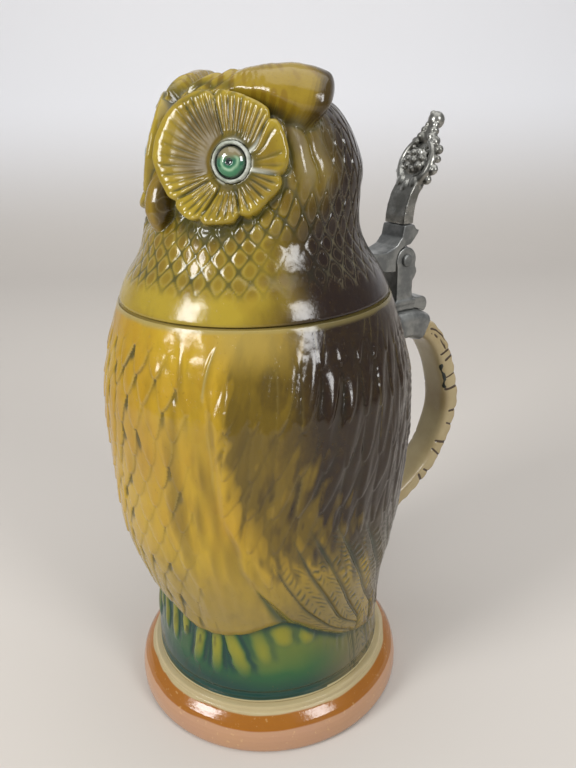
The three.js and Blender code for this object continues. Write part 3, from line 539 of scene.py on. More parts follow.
def breastRelief(g, v):
    # long scales with thin pale rims, fading into soft streaks toward the wings
    z, fold, side, arc = g.z, g.fold, g.side, g.arc
    around = arc / v["scaleWide"] + 0.5 + g.warp * 0.09 + 0.11 * cloud(arc / 9, z / 8, side, seed=34)
    down = (seamHeight - 2 - z) / v["scaleTall"] + g.warp * 0.10 + 0.14 * cloud(arc / 8, z / 9, side, seed=35)
    g.scale = scale = tiledScales(around * side, down, 0.57, 1.6, 1.85)
    own, across = scale["own"], scale["across"]
    fade = drop(fold, 27, 41) * ease(g.under, 5, 14) * (1 - 0.45 * drop(g.above, 0, 12))
    soft = mix(0.4, 1.0, drop(fold, 20, 36)) * fade
    soft = soft * mix(0.6, 1.15, ease(cloud(arc / 17, z / 20, side, seed=48), -0.45, 0.3))
    g.rimLine = bell(scale["rim"], 0.06) * soft * ease(across, -0.1, 0.5) * mix(0.4, 1, own)
    rightCut, leftCut = bell(scale["right"], 0.13) * mix(0.5, 1.0, own), bell(scale["left"], 0.06) * 0.2
    g.cutLine = np.maximum(rightCut, leftCut) * soft
    slit = bell(across, 0.20) * span(scale["down"], -0.35, -0.1, 0.22, 0.62)
    g.slit = slit * fade * ease(own + 0.35 * cloud(arc / 6, z / 7, side, seed=53), 0.1, 0.7)
    lean = fold + 0.05 * (z - 120)
    g.streaky = 0.6 * cloud(lean / 5.2, z / 34, side, seed=5) + 0.4 * cloud(lean / 2.8, z / 18, side, seed=45)
    inPlace = span(z, 150, 157, 168, 172) + 0.35 * span(z, 118, 128, 138, 146)
    g.leadingEdge = bell(g.past + 1.0, 0.5) * inPlace
    relief = (scale["swell"] - 0.5) * v["scaleStep"] * soft * 0.8
    relief = relief + 0.2 * g.rimLine - 0.42 * g.cutLine - 0.45 * g.slit
    return relief + 0.75 * g.streaky * ease(fold, 18, 32) * (1 - g.onWing) + 0.7 * g.leadingEdge


def wingRelief(g, v):
    z, fold, side = g.z, g.fold, g.side
    # long soft feathers that lean forward above the middle and back again toward the tips
    g.lean = g.arc * side + readSmooth(v["leaning"], 8, z)
    coarse = cloud(g.lean / 4.4, side * 2 + z / 24, 0 * z, seed=6)
    ridges = cloud(g.lean / 2.3, side * 5 + z / 11, 0 * z, seed=7)
    g.leaves = leaves = tiledScales(g.lean / v["leafWide"] + 0.25 + 0.12 * g.warp,
                                    g.under / v["leafTall"] + 0.10 * g.warp, 0.54, 1.3, 1.8)
    edges = np.maximum(bell(leaves["right"], 0.08), bell(leaves["left"], 0.08))
    g.leafLine = edges * mix(0.3, 1.0, leaves["own"])
    wing = 0.70 * coarse + 0.34 * ridges + 0.8 * (leaves["swell"] - 0.5) - 0.22 * g.leafLine
    wing = wing * ease(g.under, 4, 20)

    # primaries: numbered curves from the wing's lower edge, with barbs like a herringbone
    position = [readSmooth(p, 7, z) for p in v["primaries"]]
    feather = np.full(z.shape, -1.0)
    for k, (a, b) in enumerate(zip(position, position[1:])):
        t = (fold - a) / np.maximum(b - a, 0.5)
        feather = np.where((t >= 0) & (t < 1), k + t, feather)
    beyond = len(position) - 1 + (fold - position[-1]) / 12.0
    feather = np.where(fold >= position[-1], beyond, feather)
    number = np.floor(feather)
    across = feather - number - 0.5
    off = np.abs(across)
    tops = np.array(v["primaryTops"])[np.clip(number, 0, 7).astype(int)]
    g.long = ease(tops + 3 - z, 0, 22) * (feather >= 0) * drop(fold, 128, 150)
    g.groove = unit(1 - (0.5 - off) / 0.15)
    barbs = np.sin(2 * np.pi * (z / v["barbStep"] + off * 3.0 + 0.5 * ridges + 0.31 * number))
    worn = ease(cloud(g.lean / 3.5, z / 4, number, seed=46), -0.45, 0.25)
    g.barbs = barbs * span(off, 0.03, 0.1, 0.3, 0.44) * worn
    primary = 0.45 * (1 - (across * 2) ** 2) - 0.95 * g.groove ** 1.4
    primary = primary + 0.22 * g.barbs - 0.15 * bell(across, 0.05)

    # back: long plain feathers in rows
    g.back = ease(fold, 112, 150)
    column = g.arc / v["plumeWide"]
    plume = tiledScales(column, g.under / v["plumeTall"], 0.55, 1.4, 1.8)["swell"]
    shaft = 0.16 * np.sin(2 * np.pi * (z / v["barbStep"] + 2.4 * np.abs((column % 1.0) - 0.5)))
    backRelief = ((plume - 0.5) * 1.15 + 0.3 * ridges + shaft) * ease(g.under, 4, 18)
    return mix(mix(wing, primary, unit(g.long)) * g.onWing, backRelief, g.back)


def footRelief(g, v):
    # toes like soft teeth that grow down from the hem, tufts under the wing, two turned grooves at the bottom
    z, fold, side = g.z, g.fold, g.side
    g.toe, g.dark = np.zeros_like(z), np.zeros_like(z)
    for at, middle, tall, wide, leaning, share in v["toes"]:
        du = (fold - at - (middle - z) * leaning) * np.radians(1) * 47 / wide
        du = np.abs(du * (1.0 + 0.15 * cloud(z / 3.0, at + 0 * z, side, seed=49)))
        dv = np.where(z > middle, 0.45, 1.0) * (middle - z) / tall
        g.toe = np.maximum(g.toe, unit(1 - du ** 2.4 - dv ** 2) ** 0.8 * share)
        g.dark = np.maximum(g.dark, bell(du - 1.2, 0.42) * drop(dv, 0.35, 1.0) * share)
    g.dark = g.dark * drop(g.toe, 0.05, 0.3)
    tuft = cloud(g.arc / 2.0, z / 7, side, seed=9) * bell(g.hem - z - 3, 5) * span(fold, 66, 80, 120, 150)
    grooves = 0.7 * bell(z - 22.2, 0.8) + 0.45 * bell(z - 19.7, 0.6) + 0.5 * drop(z, 18.3, 19.2)
    return (1.1 * g.toe ** 1.4 - 0.3 * g.dark + 0.5 * tuft - grooves) * ease(z, 17.5, 20)


def vesselFields(g, v, r):
    # where each glaze lies, as shares from 0 to 1
    z, fold, side, arc, above, past, lean = g.z, g.fold, g.side, g.arc, g.above, g.past, g.lean
    onBody, inFoot, onBreast = above > 0, above <= 0, 1 - g.onWing
    bareWing = g.onWing * (1 - g.long)
    # painted shade: dark green in the hollow where the wing's tip leaves the belly, laid into the pool, green
    # and deep-green shares
    tongue = bell(fold - readSmooth(v["tongue"], 3, z), np.interp(z, *zip(*v["tongueWide"])))
    tongue = tongue * span(z, 52, 57, 74, 82) * onBody

    # dark glaze pooled in every hollow, with painted shade in the hollow under the wing's tip
    cavity = unit(0.62 * cavityOf(r - g.full * onBody - g.foot * inFoot, 5, 6, 0.55))
    cavity = cavity * ease(np.abs(above), 0.4, 2.5)
    hemLine = bell(above + 0.6, 1.6) * (0.45 + 0.4 * cloud(arc / 7, z * 0, side, seed=12))
    pooled = cavity * mix(0.4, 0.8, ease(cloud(g.x, g.y, z, 15, 13), -0.4, 0.5)) * (1 - 0.7 * g.rimLine)
    pooled = unit(pooled + g.slit * 1.3 + g.cutLine * 1.1 * mix(0.5, 1.0, g.scale["own"]) * onBreast)
    pooled = unit(pooled + g.groove * g.long * 1.1 + unit(-g.barbs) * g.long * 0.95 * (1 - g.back) + hemLine)
    pooled = unit(pooled * ease(g.under, 3, 9) + tongue)
    pooled = np.where(onBody, pooled * mix(1.0, 0.5, ease(fold, 20, 36) * onBreast), pooled)

    # brown spreads from the back, in leaning blotches near its edge; painted shade adds olive streaks on the
    # breast's soft folds and beside the wing's leading edge
    brownEdge = readSmooth(v["brownEdge"], 8, z)
    blotch = 0.62 * cloud(lean / 2.3, z / 6.8, side * 4, seed=14)
    blotch = blotch + 0.45 * cloud(lean / 1.4, z / 4.2, side * 7, seed=15)
    blotch = blotch + 0.42 * cloud(lean / 7.0, z / 15.0, side * 3, seed=47)
    blotch = blotch - 0.25 * (g.leaves["swell"] - 0.5) + 0.2 * g.leafLine * g.leaves["own"]
    inward = np.clip((fold - g.edge) / np.maximum(brownEdge - g.edge, 6), -0.3, 1.0)
    bias = mix(-0.75, 0.16, unit(inward) ** 0.75) + np.maximum(fold - brownEdge, 0) / 22
    spread = (blotch + bias - 0.75 * drop(z, 66, 96) * drop(fold, 92, 116)) * ease(inward, 0.0, 0.12)
    wash = 0.85 * ease(inward, 0.05, 0.5) * ease(z, 70, 112)
    # painted shade: olive streaks along the breast's vertical folds, and an olive band just before the wing's
    # raised edge
    shade = ease(g.streaky, -0.1, 0.45) * ease(fold, 20, 29) * ease(z, 62, 95) * onBreast * 0.62
    shade = shade + 0.30 * bell(past + 4.5, 3.6) * span(z, 92, 130, 158, 171)
    lowBelly = drop(z, 54, 106) * onBody * drop(fold, 95, 125)
    topPale = drop(g.under, 3, 17) * drop(fold, 60, 80)
    brown = np.maximum.reduce([unit(wash + 0.8 * ease(spread, -0.6, 0.25)) * ease(inward, 0.0, 0.2), shade,
                               0.62 * lowBelly + 0.3 * g.long * g.onWing * (1 - g.back)])
    brown = unit(brown) * (1 - 0.8 * topPale)
    deep = 0.94 * ease(spread, -0.1, 0.8) * mix(0.75, 1.0, ease(z, 60, 110)) * ease(inward, 0.04, 0.25)
    deep = deep * (1 - 0.95 * topPale) * (1 - 0.8 * drop(fold, 60, 80) * ease(z, 114, 130))
    amber = unit(0.5 + 0.55 * cloud(g.x, g.y, z * 0.6, 13, 16) + 0.55 * (g.scale["swell"] - 0.45) * onBreast)

    # pale at the seam and on edges where the glaze is thin, and paler low on the belly and just below the
    # seam over the wing's front; painted reflection as pale lines on the wing's leaf rims
    seamPale = drop(g.under, 0.9, 2.4 + 0.7 * cloud(arc / 9, 0 * z, side, seed=17))
    # painted reflection: pale lines on the leaf rims of the wing's bare part
    leafRimSheen = bell(g.leaves["rim"], 0.05) * bareWing * ease(cloud(g.x, g.y, z, 12, 38), 0, 0.6)
    pale = np.maximum.reduce([unit(seamPale) * mix(0.95, 0.5, brown), 0.35 * lowBelly,
                              0.55 * topPale * ease(fold, 36, 50), 0.7 * g.rimLine * onBreast,
                              0.9 * g.leadingEdge * onBreast, 0.16 * leafRimSheen])

    # the green foot, darker to the front's far side, low down, between the toes and under the hem
    underHem = bell(above + 0.8, 1.9) * span(fold, 52, 62, 92, 106)
    green = unit(inFoot * 1.0 + bell(np.maximum(above, 0), 1.2) * 0.55 * onBody + 0.75 * tongue + underHem)
    lime = (1.05 * ease(g.toe, 0.05, 1.0) + 0.40 * ease(fold, 40, 64)) * ease(z, 27, 44)
    lime = unit(lime + 0.2 * cloud(g.x, g.y, z, 8, 18) * ease(z, 24, 32))
    lime = lime * ease(z, 23, 33) * inFoot * (1 - underHem)
    between = (g.dark * 0.85 + 0.35 * drop(fold, 30, 60)) * drop(g.toe, 0.1, 0.5)
    farSide = 0.55 * drop(np.mod(g.az + 180, 360) - 180, -30, 22)
    footDeep = unit((drop(z, 20.5, 34) + between + farSide) * inFoot + 0.6 * tongue + underHem)
    return {"pooled": pooled, "brown": brown, "deepBrown": deep, "amber": amber * ease(z, 66, 112),
            "pale": pale, "green": green, "lime": lime, "footDeep": footDeep,
            "footBrown": ease(fold, 72, 112) * inFoot * (1 - 0.8 * underHem), "bare": (z < 19.1) * 1.0}


def makeVessel():
    v, turns = vessel, vessel["turns"]
    g = vesselGrid(v)
    breast, wing, footR = breastRelief(g, v), wingRelief(g, v), g.foot + footRelief(g, v)
    shoulder, top = unit((g.above + 0.6) / 7.0), unit(g.under / 9.0)
    rise = v["wingStep"] * g.onWing * drop(g.past, 6, 70) * ease(g.under, 6, 30)
    dip = bell(g.fold - np.interp(g.z, *zip(*v["tongue"][1:-1])), 2.2) * span(g.z, 54, 60, 70, 80)
    relief = (breast * (1 - g.onWing) + wing) * top * ease(g.above, 0, 5) - 1.1 * dip * ease(g.above, 0, 3)
    bodyR = g.full + (rise - 0.6) * top * shoulder + relief
    bulge = np.sqrt(unit(1 - (1 - shoulder) ** 2))
    r = np.where(g.above <= 0, footR, mix(footR, np.maximum(bodyR, footR), bulge))
    r = blurGrid(r + 0.12 * cloud(g.x, g.y, g.z, 5.5, 10) + 0.05 * cloud(g.x, g.y, g.z, 2.4, 11), 1, 1)
    r[-6:] = np.minimum(r[-6:], v["rimRadius"] + np.linspace(0.9, 0, 6)[:, None])
    lip = [(v["rimRadius"] + out, g.rim + up) for out, up in v["lip"]]
    inner, under = turnedRows(lip + v["inside"], turns), turnedRows(v["underside"], turns)

    def wholeField(values, underValue=0.0, innerValue=0.0):
        return np.vstack([np.full((len(under), turns), underValue), values, values[-1:], values[-1:],
                          np.full((len(inner) - 2, turns), innerValue)])
    ends = {"pale": (0, 1), "bare": (1, 0)}
    fields = {k: wholeField(f, *ends.get(k, ())) for k, f in vesselFields(g, v, r).items()}
    tips = [(0, 0, v[k][at][1]) for k, at in (("underside", 0), ("inside", -1))]
    return skinObject("vesselGlazed", np.vstack([under, turnedPoints(g.az, r, g.z), inner]), *tips, fields)


# The head: shares of its height above the seam against shares of its base radius, discs, brows and beak.
headShape = {
    "turns": 800,
    "rows": 330,
    "low": 175.3,
    "tall": 73.3,
    "middle": 210.0,
    "skull": [(0, 1), (0.075, 0.955), (0.14, 0.902), (0.195, 0.846), (0.26, 0.8), (0.32, 0.776), (0.4, 0.768),
              (0.48, 0.772), (0.55, 0.781), (0.61, 0.778), (0.66, 0.76), (0.72, 0.731), (0.77, 0.695),
              (0.82, 0.65), (0.865, 0.59), (0.91, 0.505), (0.95, 0.4), (0.98, 0.25), (1.0, 0.0), (1.3, -1.0)],
    "disc": [(0.3, 0.75), (0.402, 0.785), (0.545, 0.812), (0.669, 0.815), (0.774, 0.782), (0.855, 0.738),
             (0.951, 0.665), (1.1, 0.55), (1.3, -1.0)],
    # from the axis to the face's two flat sides, and the degrees that they are turned to either side
    "flat": [(-0.1, 1.4), (0.2, 1.1), (0.36, 0.82), (0.446, 0.76), (0.542, 0.713), (0.664, 0.685),
             (0.76, 0.648), (0.869, 0.587), (0.944, 0.524), (1.019, 0.437), (1.07, 0.299), (1.087, 0.177),
             (1.3, -1.0)],
    "turnedFace": 24.0,
    # the disc's edge in shares of discArc against degrees round the eye, and where its petals part
    "rim": [(0, 0.86), (11, 0.885), (22, 0.89), (30, 0.85), (39, 0.77), (52, 0.66), (65, 0.565), (87, 0.505),
            (110, 0.489), (142, 0.501), (170, 0.471), (198, 0.427), (224, 0.398), (259, 0.433), (287, 0.492),
            (323, 0.652), (343, 0.751), (354, 0.82), (360, 0.86)],
    "petals": [-28, 66, 147, 195, 262, 304, 332],
    "ribs": [15, 9, 4, 6, 5, 4],
    "seams": [0.8, 0.8, 0.9, 0.9, 1.1, 0.9, 0.8],
    "eyeHeight": 224.0,
    "eyeSwing": 50.2,
    "discArc": 40.0,
    # degrees, share of the base radius, share of browTall, outward tilt, half width and half thickness
    "brow": [(17, 0.58, 0.868, 35, 3.0, 2.5), (23, 0.53, 0.915, 45, 4.8, 3.1),
             (36, 0.46, 0.942, 60, 6.0, 3.1), (56, 0.455, 0.95, 62, 6.7, 3.6),
             (74, 0.525, 0.944, 55, 8.3, 5.2), (85, 0.604, 0.924, 46, 10, 6.5),
             (92.5, 0.674, 0.902, 38, 10.1, 6.6), (97, 0.735, 0.891, 32, 8.8, 5.7)],
    "browTall": 75.1,
    "browOvals": 34,
    "beak": [(0, 0), (0.02, 0.2), (0.09, 0.52), (0.2, 0.82), (0.33, 0.98), (0.48, 1), (0.64, 0.88),
             (0.8, 0.62), (0.93, 0.3), (1, 0)],
    "beakFoot": 24.1,
    "beakTall": 24.6,
    "beakThick": 5.9,
    "beakBack": 15.4,
    "beakLean": 3.4,
    # rows of lattice scales against height, in front and at the side
    "frontRows": [(176, -0.95), (184, 0), (192, 1.05), (200, 2.15), (212, 3.7), (252, 8)],
    "sideRows": [(176, -0.95), (184, 0), (192, 0.9), (200, 1.75), (212, 2.75), (226, 3.8), (240, 5),
                 (252, 6)],
    "scaleTurns": 41,
    "scaleSunk": 0.45,
    "brownEdge": [(175, 60), (183, 62), (195, 66), (204, 74), (212, 83), (225, 90), (238, 93), (250, 96)],
    # the bead's room in each disc: radius and depth of its floor, and where it runs out
    "socket": (6.45, -1.35, 10.5),
    "flange": [(41.0, 168.4), (43.9, 168.3), (44.4, 168.9), (44.4, 175.2), (49.6, 175.25), (50.5, 175.6)],
    "inside": [(8, 241), (20, 238.6), (27, 233.5), (29.6, 226), (29.6, 212), (31.5, 203), (36.5, 195),
               (40.2, 187), (40.9, 180), (41.0, 169.0)],
    "insideTop": 242.6,
}


def headGrid(h):
    # directions from the head's middle, and how far along each the skull, the discs and the flat sides lie
    g = SimpleNamespace(mid=h["middle"], low=h["low"])
    shape = (h["rows"], h["turns"])
    g.az = np.broadcast_to(np.arange(h["turns"]) * 360.0 / h["turns"], shape)
    base = math.degrees(math.atan2(g.low + 0.8 - g.mid, headBase))
    g.el = np.linspace(base, 89.4, h["rows"])[:, None] * np.ones((1, h["turns"]))
    g.rad, g.elr = np.radians(g.az), np.radians(g.el)
    g.side = np.where(np.sin(g.rad) >= 0, 1.0, -1.0)
    g.fold = foldedDegrees(g.az)
    lines = {k: smoothOutline(h[k], soft) for k, soft in (("skull", 0.028), ("disc", 0.03), ("flat", 0.02))}

    def lineAt(key, z):
        return headBase * readOutline(lines[key], (z - g.low) / h["tall"])

    def flatAt(z, inset=0.0):
        return (lineAt("flat", z) - inset) / np.maximum(np.cos(np.radians(g.fold - h["turnedFace"])), 0.2)

    def skullAt(z):
        share = (z - g.low) / h["tall"]
        plain = lineAt("skull", z) - 5.0 * span(share, 0.306, 0.426, 0.784, 0.95) * drop(g.fold, 17, 34)
        return softMin(plain, flatAt(z, 2.4 * ease(share, 0.4, 0.5)), 1.6)

    def farCrossing(reachAt):
        # the far crossing of each ray with a turned surface, found by halving
        near, far = np.full(shape, 5.0), np.full(shape, 90.0)
        for _ in range(22):
            r = 0.5 * (near + far)
            inside = r * np.cos(g.elr) < reachAt(g.mid + r * np.sin(g.elr))
            near = np.where(inside, r, near)
            far = np.where(inside, far, r)
        return 0.5 * (near + far)

    g.skull, g.flat = farCrossing(skullAt), farCrossing(flatAt)
    g.disc = farCrossing(lambda z: softMin(lineAt("disc", z), flatAt(z), 1.6))
    g.z = g.mid + g.skull * np.sin(g.elr)
    rho = g.skull * np.cos(g.elr)
    g.x, g.y = rho * np.sin(g.rad), -rho * np.cos(g.rad)
    g.warp = cloud(g.x, g.y, g.z, 16, 23) + 0.35 * cloud(g.x, g.y, g.z, 6, 40)
    return g


def faceRelief(g, h):
    # the discs: bowls of petals round the eyes, parted by seams and cut by ribs
    up = g.mid + g.disc * np.sin(g.elr) - h["eyeHeight"]
    toward = (h["eyeSwing"] - g.fold) * np.pi / 180 * h["discArc"]
    g.reach = reach = np.hypot(up, toward)
    angle = np.degrees(np.arctan2(up, toward)) % 360.0
    rim = readSmooth(h["rim"], 6, angle) * h["discArc"]
    petals = np.array(h["petals"], float)
    turned = np.where(angle > petals[-1], angle - 360.0, angle)
    g.turned = turned = turned + 14 * bell(turned - 146, 20) * ease(reach, 7, 16)
    petal = np.clip(np.searchsorted(petals, turned, side="right") - 1, 0, len(petals) - 2)
    first, last = petals[petal], petals[petal + 1]
    share = (turned - first) / (last - first)
    lobe = 1 - np.abs(2 * share - 1)
    seamWidth = np.abs(share - np.round(share)) * (last - first) * np.pi / 180 * reach
    seamDeep = np.array(h["seams"])[np.clip(petal + np.round(share).astype(int), 0, len(petals) - 1)]
    rim = rim - 1.3 * bell(seamWidth, 1.7) * seamDeep + 0.3 * np.sin(petal * 2.4)
    g.out = out = reach / rim
    g.onDisc = drop(out, 0.965, 1.03)
    g.wideBowl = wide = span(turned, -30, -5, 55, 75)
    bowl = -2.7 * drop(out, mix(0.12, 0.3, wide), mix(0.74, 0.86, wide))
    roll = 1.25 * bell(out - 0.88, 0.1) - 2.0 * ease(out, 0.94, 1.03)
    g.boundary = bell(seamWidth, 0.6) * ease(out, 0.28, 0.5) * seamDeep * (1 - 0.5 * ease(out, 0.8, 0.92))
    swollen = 0.5 * (1 - bell(seamWidth, 2.6)) * ease(out, 0.45, 0.85)
    jitter = 0.24 * cloud(petal * 3.7 + share * 2, out * 1.7, g.side * 5, seed=21) * ease(lobe, 0, 0.3)
    ribPlace = share * np.array(h["ribs"], float)[petal] + jitter
    g.ribWave = np.abs(np.sin(np.pi * ribPlace))
    own = ownNumber(np.round(ribPlace) * 12.9898 + petal * 4.1)
    plain = ease(out, mix(0.3, 0.42, own), 0.55) * drop(out, 0.8, 0.93)
    broad = 0.65 * mix(0.5, 1.2, ease(cloud(reach / 5, angle / 25, g.side, seed=50), -0.5, 0.4))
    broad = broad * ease(out, 0.32, mix(0.55, 0.7, own)) * drop(out, 0.8, 0.91)
    g.ribStrength = mix(plain, broad, wide) * mix(0.55, 1.1, own) * np.where(petal == 2, 0.6, 1.0)
    ribCut = drop(g.ribWave, 0.0, 0.9) * g.ribStrength
    grain = 0.12 * cloud(reach / 2, angle / 14, g.side, seed=22)
    return bowl + roll + swollen - 1.1 * g.boundary - ribCut + grain


def browReach(g, h):
    # many overlapping ovals along the cushion's middle line: each ray's reach, and its place along the line
    stations = np.array(h["brow"], float)
    fine = np.linspace(0, len(stations) - 1, h["browOvals"])
    stations = np.stack([np.interp(fine, np.arange(len(stations)), column) for column in stations.T], -1)
    direction = turnedPoints(g.fold, np.cos(g.elr), np.sin(g.elr))
    centres = turnedPoints(stations[:, 0], headBase * stations[:, 1], 0) + np.array([0, 0, g.low])
    centres[:, 2] += h["browTall"] * stations[:, 2]
    brow, place = np.zeros(g.az.shape), np.zeros(g.az.shape)
    for k, (degrees, _, _, tilt, wide, thick) in enumerate(stations):
        ahead = centres[min(k + 1, len(centres) - 1)] - centres[max(k - 1, 0)]
        ahead = ahead / np.linalg.norm(ahead)
        tilt = math.radians(tilt)
        broad = np.cross(ahead, turnedPoints(degrees, math.cos(tilt), math.sin(tilt)))
        broad = broad / np.linalg.norm(broad)
        wide, thick = wide * 0.97, thick * 0.97
        blunt = min(wide, 6.0, 3.4 + float(np.linalg.norm(centres[-1] - centres[k])))
        axes = np.stack([ahead / blunt, broad / wide, np.cross(broad, ahead) / thick])
        o, d = axes @ (np.array([0, 0, g.mid]) - centres[k]), direction @ axes.T
        a, b, c = (d * d).sum(-1), (d * o).sum(-1), (o * o).sum() - 1
        root = b * b - a * c
        hit = np.where(root > 0, (-b + np.sqrt(np.maximum(root, 0))) / a, 0)
        place = np.where(hit > brow, k / (len(stations) - 1.0), place)
        brow = np.maximum(brow, hit)
    brow = np.where(brow > 0, blurGrid(brow, 2, 2), brow)
    return np.where((brow > 0) & (g.fold < 100), softMin(brow, g.flat + 0.5, 1.6), brow), place


def beakReach(g, h):
    # a smooth drop whose axis leans back as it rises; 0 where a ray misses it
    line = smoothOutline(h["beak"], 0.03)
    foot = g.low + h["beakFoot"]
    across = np.full(g.az.shape, 40.0)
    for _ in range(8):
        z = g.mid + across * np.tan(g.elr)
        up = np.clip((z - foot) / h["beakTall"], -0.05, 1.05)
        axis = headBase - h["beakBack"] - h["beakLean"] * up ** 2
        root = (h["beakThick"] * readOutline(line, up)) ** 2 - (axis * np.sin(g.rad)) ** 2
        across = np.where(root > 0, axis * np.cos(g.rad) + np.sqrt(np.maximum(root, 0)), across)
    g.onBeak = (root > 0) & (z > foot) & (z < foot + h["beakTall"]) & (np.cos(g.rad) > 0)
    return np.where(g.onBeak, across / np.cos(g.elr), 0)


def skullRelief(g, h):
    # drop-shaped scales, plumes under the brow's tip, strokes on the crown
    x, y, z, fold, warp = g.x, g.y, g.z, g.fold, g.warp
    u = fold / 360.0 * h["scaleTurns"] + 0.2 * warp
    v = mix(readSmooth(h["frontRows"], 3, z), readSmooth(h["sideRows"], 3, z), ease(fold, 58, 84))
    v = v + 0.17 * warp
    cell = np.sqrt(np.abs(np.sin(np.pi * (u + v)) * np.sin(np.pi * (u - v))))
    g.cell = cell + 0.10 * cloud(x, y, z, 3.2, 41) * ease(cell, 0.1, 0.5)
    g.backScales = ease(fold, 86, 100)
    pillow = ease(g.cell, mix(0.14, 0.05, g.backScales), mix(0.72, 0.5, g.backScales))
    g.scaleZone = ease(z, 181.5, 186.5) * drop(g.el, 60, 74)
    g.patchy = mix(0.5, 1.0, ease(cloud(x, y, z, 15, 24), -0.5, 0.2))
    bare = bell(fold - 74, 15) * drop(z, 197, 205) * ease(z, 179, 184)
    g.bare = unit(bare * 1.3 + 0.5 * cloud(x, y, z, 8, 25) * bare)
    depth = mix(0.62, 1.15, ease(z, 198, 210) * ease(fold, 45, 60))
    depth = depth * g.scaleZone * g.patchy * (1 - 0.85 * g.bare)
    g.plumeZone = bell(fold - 84, 15) * span(z, 213, 221, 238, 244)
    g.plumes = np.abs(np.cos(np.pi * (fold / 10.5 + 0.35 * warp + (z - 225) * 0.014)))
    knobs = 0.35 * cloud(fold / 6, z / 6, g.side, seed=42)
    scales = mix(pillow * depth, 1.5 * g.plumes ** 0.6 - 0.2 + knobs, unit(g.plumeZone * 1.3))
    g.crownZone = drop(fold, 66, 92) * ease(z, 234, 241)
    g.strokes = np.cos(2 * np.pi * ((z - 0.22 * fold) / 3.1 + 0.5 * warp)) * ease(fold, 2, 8)
    crown = (0.7 * (0.5 + 0.5 * g.strokes) ** 0.7 + 0.45 * cloud(x, y, z, 6, 26)) * drop(g.el, 70, 84)
    return mix(scales, crown, unit(g.crownZone)) - h["scaleSunk"] * g.scaleZone


def headReach(g, h):
    # all forms of the head together, with the hollow round the discs and the creases at brow and beak
    discTop, skullTop = g.disc + faceRelief(g, h), g.skull + skullRelief(g, h)
    brow, g.browAt = browReach(g, h)
    beak = beakReach(g, h)
    g.hollow = bell(g.out - 1.07, 0.07) * (1 - g.onDisc)
    total = mix(skullTop, discTop, g.onDisc) - 0.9 * g.hollow * ease(g.z, 196, 203)
    total = np.where(g.onDisc > 0.02, np.maximum(total, skullTop - 3.5 * g.onDisc), total)
    g.onBrow = ease(brow - total, -0.5, 0.9)
    strokes = np.cos(2 * np.pi * ((g.mid + np.maximum(brow, g.skull) * np.sin(g.elr) - 0.26 * g.fold) / 3.4
                                  + 0.35 * g.warp))
    strokes = (0.5 * strokes + 0.3 * cloud(g.x, g.y, g.z, 5, 43)) * drop(g.browAt, 0.30, 0.56)
    withBrow = softMax(total, np.where(brow > 0, brow + strokes, -50), 1.1)
    withBrow = np.where(brow > total - 8, withBrow, total)
    g.browCrease = bell(brow - total, 0.9) * (brow > 0)
    g.beakMask = ease(beak - withBrow, -0.2, 0.8) * g.onBeak
    g.beakCrease = bell(beak - withBrow, 1.1) * g.onBeak
    r = np.where(g.onBeak, softMax(withBrow, beak, 0.7), withBrow) - 0.5 * g.browCrease * (1 - g.beakMask)
    r = blurGrid(r + 0.08 * cloud(g.x, g.y, g.z, 4.5, 27), 1, 1)
    pole = 0.5 * (r[g.el[:, 0] > 84].mean() + r[-1].mean())
    return np.where(g.el > 82, mix(r, pole, ease(g.el, 82, 88)), r)


def withSockets(points, h):
    # room for the bead and its cement in each disc, and each point's distance from the nearer eye's axis
    radius, floor, outer = h["socket"]
    eyeFlat = np.full(points.shape[:2], 99.0)
    for s in (1, -1):
        middle, _, _, normal = eyeFrame(s)
        rel = points - middle
        depth = rel @ normal
        flat = np.linalg.norm(rel - depth[..., None] * normal, axis=-1)
        near = ((flat < 12) & (depth > -12))[..., None]
        wanted = np.where(flat < radius, floor, mix(1.1, depth, ease(flat, 6.5, outer)))
        moved = (wanted - depth)[..., None] * normal * drop(flat, 6.5, outer)[..., None]
        points = np.where(near, points + moved, points)
        eyeFlat = np.minimum(eyeFlat, flat)
    return points, eyeFlat


